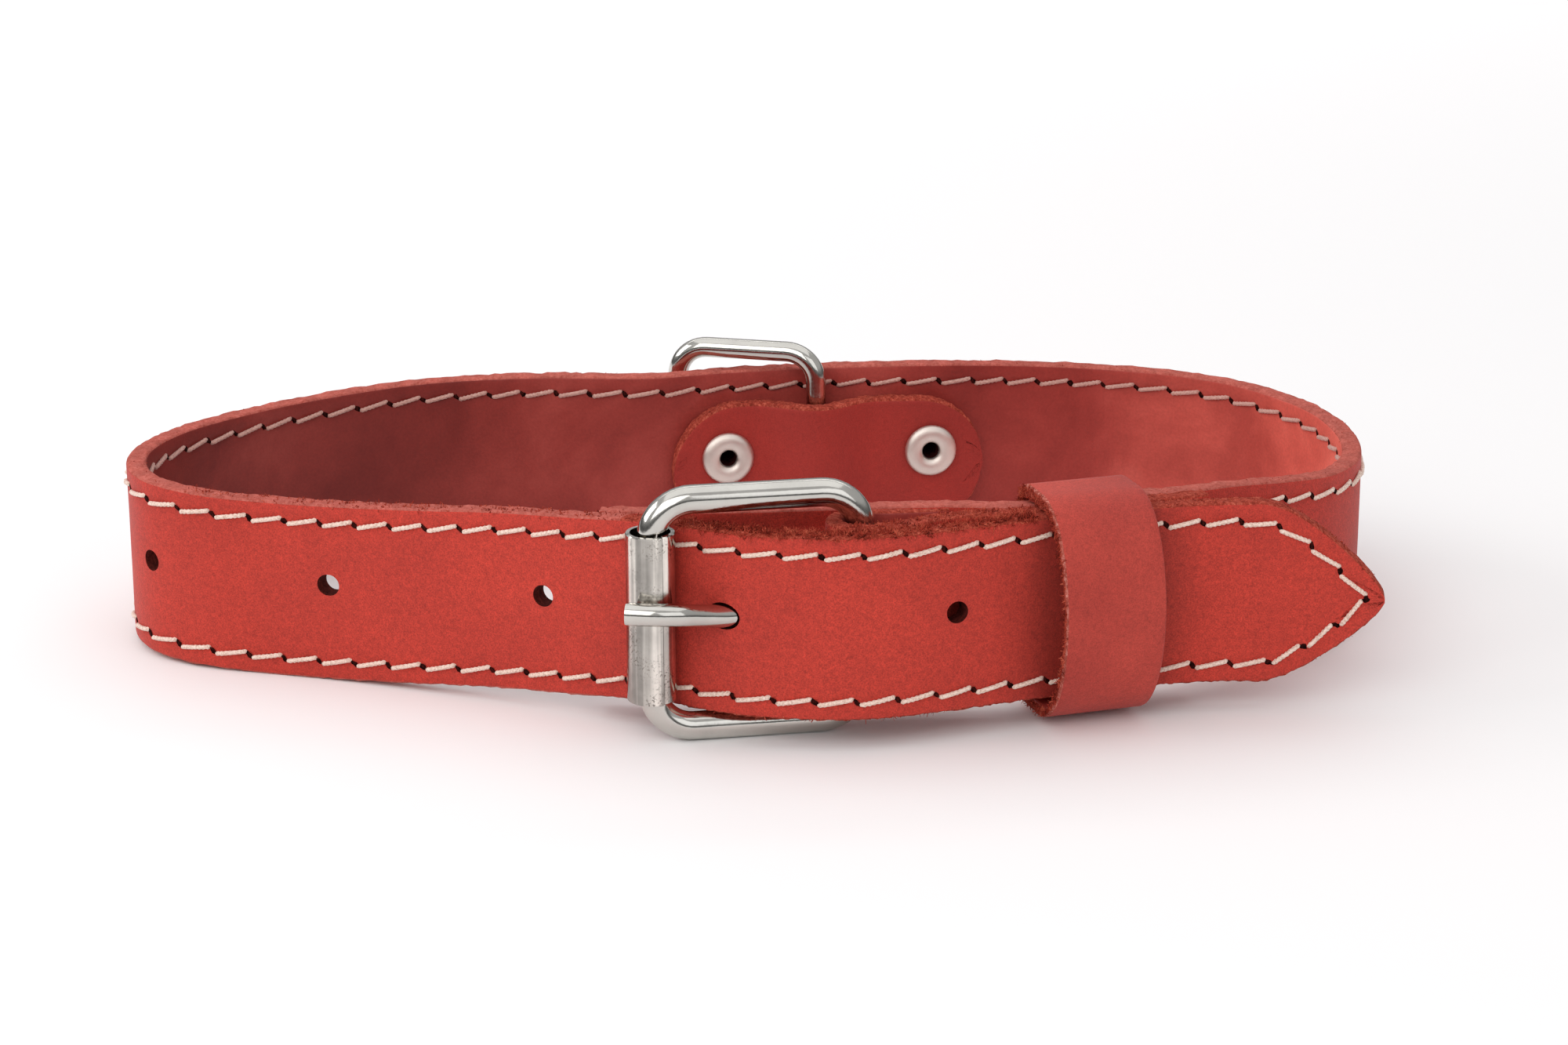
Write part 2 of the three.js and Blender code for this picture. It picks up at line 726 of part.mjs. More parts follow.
// The tab: a leather patch with round ends that bulges over the ring's bar
function makeTab() {
  const count = 36;
  const points = [];
  const halves = [];
  const rise = barOff - leather / 2 + ringWire / 2;
  const tabAt = strapDistanceNear(backMiddle);
  for (let i = 0; i <= count; i += 1) {
    const wave = -Math.cos((Math.PI * i) / count);
    const u = (tabLength / 2 - 0.25) * wave;
    const hump = Math.max(0, 1 - Math.abs(u - ringShift) / ((rivetSpacing - rivetHead) / 2 - ringShift));
    const off = leather / 2 + gap + tabLeather / 2 + rise * (0.5 - 0.5 * Math.cos(Math.PI * hump));
    const distance = tabAt + u;
    points.push(along(strapPlace(distance), leftOf(strapDirection(distance)), off));
    const toEnd = tabLength / 2 - Math.abs(u);
    const inCorner = Math.max(tabCorner - toEnd, 0);
    halves.push(tabHeight / 2 - tabCorner + Math.sqrt(tabCorner ** 2 - inCorner ** 2));
  }
  const middle = tabMiddle - tabDrop;
  const body = band(points, () => tabLeather, (i) => middle - halves[i], (i) => middle + halves[i]);
  return cut(body, rivetPunch(rivetLeft), rivetPunch(rivetRight));
}

// A rivet's dome outside the collar, as shares of the head's radius and of the dome's height,
// and its rolled rim inside, as shares of the way from the hollow to the head's edge and of the rim's height
const rivetDomeRows = [
  { out: 0, rise: 1 },
  { out: 0.55, rise: 0.85 },
  { out: 0.9, rise: 0.45 },
  { out: 1, rise: 0 },
];
const rivetRimRows = [
  { out: 1, rise: 0 },
  { out: 0.93, rise: 0.6 },
  { out: 0.6, rise: 1 },
  { out: 0.12, rise: 0.75 },
  { out: 0, rise: 0 },
];

// A tubular rivet through the strap and the tab
function makeRivet(place) {
  const inside = leather / 2 + gap + tabLeather + gap;
  const outside = -leather / 2 - rivetSeat;
  const head = rivetHead / 2;
  const hollow = rivetHollow / 2;
  const domeProfile = rivetDomeRows.map((row) => [row.out * head, outside - row.rise * rivetDome]);
  const rimProfile = rivetRimRows.map((row) => (
    [THREE.MathUtils.lerp(hollow, head, row.out), inside + row.rise * rivetRim]
  ));
  const profile = [
    ...domeProfile,
    [rivetShank / 2, outside],
    [rivetShank / 2, inside],
    ...rimProfile,
    [hollow, outside + leather / 2],
    [0, outside + leather / 2],
  ].map(([radius, height]) => new THREE.Vector2(radius, height));
  const inward = leftOf(strapDirection(strapDistanceNear(place)));
  return turnedAlong(profile, place, inward, tabMiddle, rivetSides);
}

function named(name, geometry, material) {
  const mesh = new THREE.Mesh(geometry, material);
  mesh.name = name;
  return mesh;
}

const pieces = new THREE.Group();
pieces.add(named('strap', makeStrap(), leatherRed));
pieces.add(named('chape', makeChape(), leatherRed));
pieces.add(named('keeper', makeKeeper(), keeperRed));
pieces.add(named('buckle_frame', makeFrame(), nickel));
pieces.add(named('roller', makeRoller(), nickel));
pieces.add(named('prong', makeProng(), nickel));
pieces.add(named('ring', makeRing(), nickel));
pieces.add(named('ring_tab', makeTab(), leatherRed));
pieces.add(named('rivet_left', makeRivet(rivetLeft), rivetMetal));
pieces.add(named('rivet_right', makeRivet(rivetRight), rivetMetal));

// The origin goes to the middle of the collar, on the floor
const box = new THREE.Box3().setFromObject(pieces);
pieces.position.set(-(box.min.x + box.max.x) / 2, -(box.min.y + box.max.y) / 2, -box.min.z);

const collar = new THREE.Group();
collar.add(pieces);

export default collar;
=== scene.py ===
import itertools
import math
import random

import bmesh
import bpy
import numpy as np
from mathutils import Matrix, Vector, noise


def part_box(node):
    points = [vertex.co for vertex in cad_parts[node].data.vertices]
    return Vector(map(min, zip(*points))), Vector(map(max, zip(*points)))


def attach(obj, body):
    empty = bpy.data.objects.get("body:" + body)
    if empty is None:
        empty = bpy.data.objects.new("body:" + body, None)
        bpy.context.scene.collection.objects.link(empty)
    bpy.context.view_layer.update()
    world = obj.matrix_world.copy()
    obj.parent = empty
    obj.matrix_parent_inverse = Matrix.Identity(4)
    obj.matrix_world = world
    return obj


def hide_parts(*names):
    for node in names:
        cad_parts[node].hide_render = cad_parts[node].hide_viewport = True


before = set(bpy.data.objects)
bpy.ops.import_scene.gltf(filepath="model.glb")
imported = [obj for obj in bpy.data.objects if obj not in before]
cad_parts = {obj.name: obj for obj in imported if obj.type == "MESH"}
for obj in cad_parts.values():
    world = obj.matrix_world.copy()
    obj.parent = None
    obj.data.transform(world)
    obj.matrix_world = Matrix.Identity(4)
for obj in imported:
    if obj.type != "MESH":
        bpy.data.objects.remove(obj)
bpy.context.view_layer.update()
MM = 0.001
dice = random.Random(7)

# Camera, fitted to the photograph: its place from the roller's middle, and its height over the floor
CAMERA_RIGHT = 17.2 * MM
CAMERA_FRONT = 453.6 * MM
CAMERA_HEIGHT = 173.3 * MM
CAMERA_PITCH = 17.53
CAMERA_ROLL = -0.15
CAMERA_LENS = 85
CAMERA_SENSOR = 36

# Leather
STRAP_WIDTH = 25 * MM
STRAP_LEATHER = 2.8 * MM
STRAP_ROUND = 0.45 * MM
STRAP_STEP = 0.9 * MM
SHORT_STEP = 0.5 * MM
FINE_STEP = 0.4 * MM
FINE_REACH = 105 * MM
RIM_ROUGH = 0.22 * MM
RIPPLE = 0.06 * MM
RIPPLE_SCALE = (90, 140)
RIM_SCALE = (1500, 1100)
TAB_RIPPLE = 0.03 * MM
TIP_ROUND = 1.3 * MM
ROW_INSET = 2.6 * MM
GROOVE_DEPTH = 0.16 * MM
GROOVE_WIDTH = 0.5 * MM
GROOVE_START = 3 * MM
GROOVE_END = 14 * MM
GROOVE_FADE = 6 * MM
GAP = 0.3 * MM
ROW_STEP = 0.1 * MM
SHARP_EDGE = 38
LEATHER_CREASE = 50
HOLE_RIM_MOST = 80
HOLE_PAIR_WITHIN = 5 * MM
CUTTER_REACH = 3 * MM

# Stitches
STITCH_PITCH = 5.23 * MM
STITCH_GAP = 0.8 * MM
STITCH_SLANT = 0.42 * MM
STITCH_STEPS = 15
STITCH_WANDER = 0.015 * MM
THREAD_RADIUS = 0.33 * MM
THREAD_RISE = 0.1 * MM
THREAD_DIP = 0.42 * MM
THREAD_TWISTS = 3.6
SLIT_LENGTH = 1.35 * MM
SLIT_WIDTH = 0.75 * MM
SLIT_LIFT = 0.05 * MM
SLIT_DEPTH = 0.25 * MM
SLIT_STEPS = 10
GUARD_PLAIN = 45 * MM

# Loose fibres
FIBRE_STEPS = 4
FIBRE_CURL = 0.7
FIBRE_BEND = 0.35
FIBRE_SINK = 0.12 * MM
FIBRE_RIM_SINK = 0.3 * MM
FIBRE_TUFTS = 420
FIBRE_THIN = 0.03 * MM
FIBRE_THICK = 0.11 * MM
KEEPER_FIBRES = 1800
CHAPE_FIBRES = (10 * MM, 50 * MM, 1500, 0.9 * MM)
FRONT_FIBRES = [(96, 48, 4200, 1.25, 0.15, False), (96, 60, 250, 0.9, 0.3, True)]
OTHER_FIBRES = [
    (None, 170, 700, 0.35, 0, False),
    (170, 96, 1400, 0.7, 0, False),
    (48, 14, 500, 0.6, 0, False),
    (14, 1, 160, 0.5, 0, False),
    (14, 1, 200, 0.5, 0, True),
]

# Buckle; the prong's bends are shares of the frame's reach, of its lift off the roller and of its rise
WIRE = 3.8 * MM
FRAME_REACH = 27.7 * MM
FRAME_TURN = 10.2
FRAME_BEND = 5.4 * MM
FRAME_SIDES = 28
ROLLER_SHEET = 0.5 * MM
ROLLER_STEPS = 72
ROLLER_BEVEL = 0.12 * MM
ROLLER_SEAM_STEP = 0.3 * MM
ROLLER_SEAM_AT = -59
ROLLER_SEAM_HALF = 2
PRONG_RADIUS = 1.5 * MM
PRONG_SIDES = 24
PRONG_OVERHANG = 3.1 * MM
PRONG_RISE = 1.9 * MM
PRONG_BENDS = [(0, 1, 0.97), (0.12, 0.87, 0.81), (0.22, 0.55, 0.48), (0.33, 0.17, 0.12)]
PRONG_TAIL = [(0.54, 0.42), (0.75, 0.82)]
PRONG_EYE = 1.8 * MM
PRONG_EYE_STEPS = 40
PRONG_EYE_BEVEL = 0.5 * MM
PRONG_HOLE_WITHIN = 14 * MM
PRONG_SLOT_SLACK = 0.6 * MM
PRONG_SLOT_REACH = 5.5 * MM
PRONG_SLOT_DEPTH = 8 * MM

# Ring, tab and rivets
RING_WIRE = 3 * MM
RING_SHIFT = 1.6 * MM
RING_BEND = 4.5 * MM
RING_SIDES = 24
TAB_LENGTH = 46.6 * MM
TAB_LEATHER = 2.6 * MM
TAB_ROUND = 0.8 * MM
TAB_CORNER = 9.9 * MM
TAB_HUMP = 11.5 * MM
RIVET_HOLLOW = 1.25 * MM
RIVET_SHANK = 2 * MM
RIVET_DOME = 1.3 * MM
RIVET_RIM = 0.95 * MM
RIVET_SINK = 0.1 * MM
RIVET_STEPS = 36

# Keeper
KEEPER_TURN = 17.5
KEEPER_FROM_HINGE = 30.5 * MM
KEEPER_BACK = 3.1 * MM
KEEPER_WIDTH = 14 * MM
KEEPER_LEATHER = 2 * MM
KEEPER_THINNED = 0.35
KEEPER_BELLY = 6 * MM
KEEPER_SLACK_TOP = 0.3 * MM
KEEPER_SLACK_LOW = 1.2 * MM
KEEPER_CORNER = 4 * MM
KEEPER_INNER_CORNER = 0.8 * MM
KEEPER_EASE = 0.35 * MM
KEEPER_RAGGED = 0.28 * MM
# How far the painted shade round the keeper reaches.
KEEPER_SHADE_REACH = 20 * MM
# Left and right ends of the flesh side's painted light-and-shade gradient.
FLESH_SPAN = (-90 * MM, 90 * MM)

# Light and floor: name, place, target, size, power and colour of each lamp
WHITE = (1, 1, 1)
LAMPS = [
    ("key", (-0.3, -0.8, 0.62), (0, -0.02, 0.01), (0.9, 0.7), 3.9, (1, 0.99, 0.97)),
    ("left", (-0.75, 0.05, 0.42), (0.06, 0.02, 0.02), (0.6, 0.4), 2.2, WHITE),
    ("fill", (0.5, -0.7, 0.45), (0, 0, 0.01), (0.6, 0.5), 0.8, (0.97, 0.98, 1)),
    ("top", (0.05, 0.1, 1.1), (0.05, 0.1, 0), (1.6, 1.2), 3.6, WHITE),
    ("back", (0, 0.9, 0.9), (0, 1.5, 0), (1.6, 0.8), 7, WHITE),
]
SKY_TONES = [(0.0, 0.3), (0.06, 0.16), (0.16, 0.35), (0.3, 0.85), (1.0, 1.0)]
SKY_STRENGTH = 0.6
FLOOR_COLOR = (0.93, 0.915, 0.92, 1)


# Leather bands are read off their CAD nodes

def corners_of(node):
    """The corner points of a CAD node, and which of them sharp edges join."""
    mesh = bmesh.new()
    mesh.from_mesh(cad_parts[node].data)
    bmesh.ops.remove_doubles(mesh, verts=mesh.verts, dist=1e-6)
    places = [v.co.copy() for v in mesh.verts]
    links = {}
    for edge in mesh.edges:
        if len(edge.link_faces) == 2 and edge.calc_face_angle() > math.radians(SHARP_EDGE):
            for vert in edge.verts:
                links.setdefault(vert.index, []).append(edge.other_vert(vert).index)
    mesh.free()
    return places, links


def rails(node):
    """The four long corner lines of a band: outer low, outer top, inner low, inner top."""
    places, links = corners_of(node)
    corners = [i for i, near in links.items() if len(near) == 3]
    lines = []
    for corner in corners:
        for start in links[corner]:
            line = [corner, start]
            while line[-1] not in corners:
                onward = [n for n in links[line[-1]] if n != line[-2]]
                line.append(onward[0])
            lines.append(line)
    lines = [line for line in lines if line[0] < line[-1]]
    lines.sort(key=len, reverse=True)
    found = [np.array([places[i] for i in line]) for line in lines[:4]]
    first = found[0][0]
    for k, line in enumerate(found):
        if np.linalg.norm(line[0] - first) > np.linalg.norm(line[-1] - first):
            found[k] = line[::-1]
    found.sort(key=lambda line: line[:, 2].mean())
    low = sorted(found[:2], key=plan_length, reverse=True)
    top = sorted(found[2:], key=plan_length, reverse=True)
    return low[0], top[0], low[1], top[1]


def plan_length(line):
    return np.linalg.norm(np.diff(line[:, :2], axis=0), axis=1).sum()


def smooth_values(knots, values, at):
    """Values at places along a smooth line through the knots."""
    at = np.asarray(at, float)
    slopes = np.gradient(values, knots, axis=0)
    i = np.clip(np.searchsorted(knots, at) - 1, 0, len(knots) - 2)
    span = (knots[i + 1] - knots[i])[:, None]
    u = ((at - knots[i]) / span[:, 0])[:, None]
    from_start = (1 + 2 * u) * (1 - u) ** 2 * values[i] + u * (1 - u) ** 2 * slopes[i] * span
    from_end = u * u * (3 - 2 * u) * values[i + 1] + u * u * (u - 1) * slopes[i + 1] * span
    return from_start + from_end


class Band:
    """A leather band: middle line in plan, lower and upper edge and thickness, by distance along it."""

    def __init__(self, node):
        outer_low, outer_top, inner_low, inner_top = rails(node)
        tall_start = outer_top[0, 2] - outer_low[0, 2]
        tall_end = outer_top[-1, 2] - outer_low[-1, 2]
        if tall_start < tall_end:
            outer_low, outer_top, inner_low, inner_top = (
                line[::-1] for line in (outer_low, outer_top, inner_low, inner_top)
            )
        middle = (outer_top[:, :2] + inner_top[:, :2]) / 2
        steps = np.linalg.norm(np.diff(middle, axis=0), axis=1)
        self.knots = np.concatenate([[0], np.cumsum(steps)])
        self.length = self.knots[-1]
        thick = np.linalg.norm(outer_top[:, :2] - inner_top[:, :2], axis=1)
        self.values = np.column_stack([middle, outer_low[:, 2], outer_top[:, 2], thick])
        tangent = middle[1] - middle[0]
        out = outer_top[0, :2] - inner_top[0, :2]
        self.side = 1 if tangent[0] * out[1] - tangent[1] * out[0] > 0 else -1

    def line(self, distances):
        return smooth_values(self.knots, self.values, distances)

    def at(self, distances):
        """Middle, outward direction, low, top and thickness at each distance."""
        distances = np.asarray(distances, float)
        values = self.line(distances)
        ahead = self.line(distances + 0.05 * MM)
        behind = self.line(distances - 0.05 * MM)
        tangent = ahead[:, :2] - behind[:, :2]
        tangent /= np.linalg.norm(tangent, axis=1)[:, None]
        out = self.side * np.column_stack([-tangent[:, 1], tangent[:, 0]])
        return values[:, :2], out, values[:, 2], values[:, 3], values[:, 4]


class TabBand(Band):
    """The ring's tab: it follows the strap and bulges over the ring's bar."""

    def __init__(self, strap, bar):
        low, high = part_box("ring_tab")
        self.strap = strap
        self.length = TAB_LENGTH
        self.low = low.z
        self.high = high.z
        self.side = -strap.side
        near = np.arange(0, strap.length, 0.2 * MM)
        middle = strap.at(near)[0]
        apart = np.hypot(middle[:, 0] - bar.x, middle[:, 1] - bar.y)
        self.bar_at = near[np.argmin(apart)]
        self.rise = apart.min() - STRAP_LEATHER / 2 + RING_WIRE / 2

    def line(self, distances):
        u = np.asarray(distances) - self.length / 2
        middle, out, _, _, _ = self.strap.at(self.bar_at - RING_SHIFT + u)
        hump = np.clip(1 - np.abs(u - RING_SHIFT) / (TAB_HUMP - RING_SHIFT), 0, 1)
        off = STRAP_LEATHER / 2 + GAP + TAB_LEATHER / 2 + self.rise * (0.5 - 0.5 * np.cos(np.pi * hump))
        corner = np.clip(TAB_CORNER - (self.length / 2 - np.abs(u)), 0, TAB_CORNER * 0.999)
        cut = TAB_CORNER - np.sqrt(TAB_CORNER ** 2 - corner ** 2)
        place = middle - out * off[:, None]
        thick = np.full(len(u), TAB_LEATHER)
        return np.column_stack([place, self.low + cut, self.high - cut, thick])


def section(low, top, thick, corner, inset, depth, along):
    """One closed outline across a band, as (outward, up) points, with a stitch groove by each edge."""
    half = thick / 2
    tall = top - low
    r = min(corner, half * 0.9, tall * 0.45)
    turn = [math.radians(a) for a in (0, 22.5, 45, 67.5, 90)]
    offsets = [1.2, 1.8, 2.2, 2.6, 3.0, 3.4, 4.2]
    squeeze = min(1, tall / 2 / (5 * MM))
    offsets = [o * MM * squeeze for o in offsets]
    middle = [0.28, 0.39, 0.5, 0.61, 0.72]
    outline = [(0.4 * (half - r), top, 0)]
    for a in reversed(turn):
        outline.append((half - r + r * math.cos(a), top - r + r * math.sin(a), 0))
    for o in offsets:
        outline.append((half, top - o, groove(o, inset, depth, along)))
    for share in middle:
        outline.append((half, top - share * tall, 0))
    for o in reversed(offsets):
        outline.append((half, low + o, groove(o, inset, depth, along)))
    for a in turn:
        outline.append((half - r + r * math.cos(a), low + r - r * math.sin(a), 0))
    outline.append((0.4 * (half - r), low, 0))
    points = [(n - g, z) for n, z, g in outline]
    points += [(-(n - g), z) for n, z, g in reversed(outline)]
    return points


def groove(offset, inset, depth, along):
    """How deep the stitches pull the leather in, most at the needle holes."""
    if not depth:
        return 0
    pull = 0.6 + 0.4 * math.cos(2 * math.pi * along / STITCH_PITCH)
    return depth * pull * math.exp(-((offset - inset) / GROOVE_WIDTH) ** 2)


def leather_band(name, band, step, corner, materials, depth=0, ripple=RIPPLE, fine=0):
    """A band with rounded and roughened edges; the last stretch, fine long, has closer rings.

    The materials are for the outside, the cut edges, the flesh side and the plain edges."""
    coarse = np.arange(0, band.length - fine - step / 2, step)
    close = band.length - np.arange(max(round(fine / FINE_STEP), 1), -1, -1) * FINE_STEP
    distances = np.concatenate([coarse, close[close > coarse[-1] + step / 3]])
    if fine:
        tip = band.length - TIP_ROUND * np.array([0.75, 0.5, 0.3, 0.15, 0.05, 0])
        distances = np.concatenate([distances[distances < tip[0] - 0.1 * MM], tip])
    count = len(distances) - 1
    middle, out, low, top, thick = band.at(distances)
    if fine:
        into = np.clip(1 - (band.length - distances) / TIP_ROUND, 0, 0.995)
        trim = (top - low) / 2 * (1 - np.sqrt(1 - into ** 2)) * 0.85
        low, top = low + trim, top - trim
    verts = []
    for i, s in enumerate(distances):
        fade = min(1, max(0, (band.length - s - GROOVE_END) / GROOVE_FADE), s / GROOVE_START)
        ring = section(low[i], top[i], thick[i], corner, ROW_INSET, depth * fade, s)
        for n, z in ring:
            spot = Vector((s * RIPPLE_SCALE[0], z * RIPPLE_SCALE[1], 3.1 if n > 0 else 8.7))
            wave = ripple * noise.noise(spot)
            at_rim = max(0, 1 - min(top[i] - z, z - low[i]) / (0.7 * corner))
            if at_rim > 0:
                layer = 5.5 if z > low[i] + corner else 1.5
                spot = Vector((s * RIM_SCALE[0], n * RIM_SCALE[1], layer))
                z += RIM_ROUGH * at_rim * noise.noise(spot)
                wave += RIM_ROUGH * at_rim * noise.noise(spot + Vector((0, 0, 20)))
            n += wave
            verts.append(beside(middle[i], out[i], n, z))
    sides = len(ring)
    half = sides // 2
    slots = []
    for i in range(count):
        rim = 1 if distances[i] >= band.length - fine or not fine else 3
        for k in range(sides):
            on_face = 4 <= k < half - 5
            on_flesh = half + 4 <= k < sides - 5
            slots.append(0 if on_face else 2 if on_flesh else rim)
    slots += [1, 1]
    faces = ring_faces(count + 1, sides) + cap_faces(count + 1, sides)
    return mesh_piece(name, verts, faces, slots, materials)


def beside(middle, out, reach, height):
    return Vector((middle[0] + out[0] * reach, middle[1] + out[1] * reach, height))


def ring_faces(rings, sides, closed=False):
    """Faces between rings of points, and back to the first ring where it is closed."""
    faces = []
    for i in range(rings if closed else rings - 1):
        j = (i + 1) % rings
        for k in range(sides):
            m = (k + 1) % sides
            faces.append((i * sides + k, i * sides + m, j * sides + m, j * sides + k))
    return faces


def cap_faces(rings, sides):
    """The flat ends of a row of rings."""
    return [tuple(range(sides)), tuple(range((rings - 1) * sides, rings * sides))]


def mesh_piece(name, verts, faces, slots=None, materials=()):
    mesh = bpy.data.meshes.new(name)
    mesh.from_pydata([tuple(map(float, v)) for v in verts], [], faces)
    work = bmesh.new()
    work.from_mesh(mesh)
    bmesh.ops.recalc_face_normals(work, faces=work.faces)
    work.to_mesh(mesh)
    work.free()
    for polygon in mesh.polygons:
        polygon.use_smooth = True
    if slots is not None:
        mesh.polygons.foreach_set("material_index", slots)
    piece = bpy.data.objects.new(name, mesh)
    bpy.context.scene.collection.objects.link(piece)
    for material in materials:
        mesh.materials.append(material)
    return piece


def sharpen(piece, degrees):
    """Hard edges where faces meet at more than this angle."""
    work = bmesh.new()
    work.from_mesh(piece.data)
    for edge in work.edges:
        if len(edge.link_faces) == 2:
            edge.smooth = edge.calc_face_angle() < math.radians(degrees)
    work.to_mesh(piece.data)
    work.free()


def cut_holes(piece, cutters, material_index):
    """Cuts the cutters out of a piece; the new walls take the material at that index."""
    for cutter in cutters:
        for slot in piece.data.materials:
            cutter.data.materials.append(slot)
        for polygon in cutter.data.polygons:
            polygon.material_index = material_index
        modifier = piece.modifiers.new("hole", "BOOLEAN")
        modifier.object = cutter
        modifier.operation = "DIFFERENCE"
        modifier.solver = "EXACT"
    bpy.context.view_layer.update()
    graph = bpy.context.evaluated_depsgraph_get()
    mesh = bpy.data.meshes.new_from_object(piece.evaluated_get(graph))
    piece.modifiers.clear()
    piece.data = mesh
    for cutter in cutters:
        bpy.data.objects.remove(cutter)


# Round things

def turns(steps):
    return [2 * math.pi * k / steps for k in range(steps)]


def tube(path, radii, sides, closed=False, flat=None):
    """A round bar along a row of points."""
    path = [Vector(p) for p in path]
    count = len(path)
    verts = []
    normal = None
    for i, point in enumerate(path):
        before = path[(i - 1) % count] if closed or i else path[0]
        after = path[(i + 1) % count] if closed or i < count - 1 else path[-1]
        tangent = (after - before).normalized()
        if normal is None:
            helper = Vector((0, 0, 1)) if abs(tangent.z) < 0.9 else Vector((1, 0, 0))
            normal = tangent.cross(helper).normalized()
        normal = (normal - tangent * normal.dot(tangent)).normalized()
        across = tangent.cross(normal)
        radius = radii(i) if callable(radii) else radii
        for turn in turns(sides):
            reach = radius * (flat(i, turn) if flat else 1)
            verts.append(point + normal * (reach * math.cos(turn)) + across * (reach * math.sin(turn)))
    faces = ring_faces(count, sides, closed)
    if not closed:
        faces += cap_faces(count, sides)
    return verts, faces


def wire_loop(start, direction, reach, low, top, bend, corner_steps=12, bar_steps=10):
    """Points of an upright rectangular loop with four bends."""
    across = Vector((direction[0], direction[1], 0)).normalized()
    corners = [
        (bend, low + bend, 180),
        (reach - bend, low + bend, 270),
        (reach - bend, top - bend, 0),
        (bend, top - bend, 90),
    ]
    points = []
    for u, z, begin in corners:
        for k in range(corner_steps + 1):
            angle = math.radians(begin + 90 * k / corner_steps)
            place = Vector((start[0], start[1], 0)) + across * (u + bend * math.cos(angle))
            points.append(Vector((place.x, place.y, z + bend * math.sin(angle))))
    spread = []
    for i, point in enumerate(points):
        spread.append(point)
        after = points[(i + 1) % len(points)]
        if (after - point).length > 3 * MM:
            spread += [point.lerp(after, k / bar_steps) for k in range(1, bar_steps)]
    return spread


def lathe(profile, place, direction, steps):
    """A profile of (outward, along) points turned about a flat axis."""
    axis = Vector((direction[0], direction[1], 0)).normalized()
    side = Vector((-axis.y, axis.x, 0))
    up = Vector((0, 0, 1))
    verts = []
    for radius, reach in profile:
        for turn in turns(steps):
            offset = side * (radius * math.cos(turn)) + up * (radius * math.sin(turn))
            verts.append(Vector(place) + axis * reach + offset)
    return verts, ring_faces(len(profile), steps) + cap_faces(len(profile), steps)


# Places read off the CAD nodes

roller_low, roller_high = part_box("roller")
roller_middle = (roller_low + roller_high) / 2
hinge = roller_middle + Vector((math.cos(math.radians(FRAME_TURN)),
                                math.sin(math.radians(FRAME_TURN)), 0)) * FRAME_REACH
keeper_middle = hinge + Vector((KEEPER_FROM_HINGE, KEEPER_BACK, 0))
ring_low, ring_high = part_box("ring")
ring_bar = Vector((ring_high.x - RING_WIRE / 2, ring_low.y + RING_WIRE / 2, 0))
ring_far = Vector((ring_low.x + RING_WIRE / 2, ring_high.y - RING_WIRE / 2, 0))
strap_band = Band("strap")


# Materials

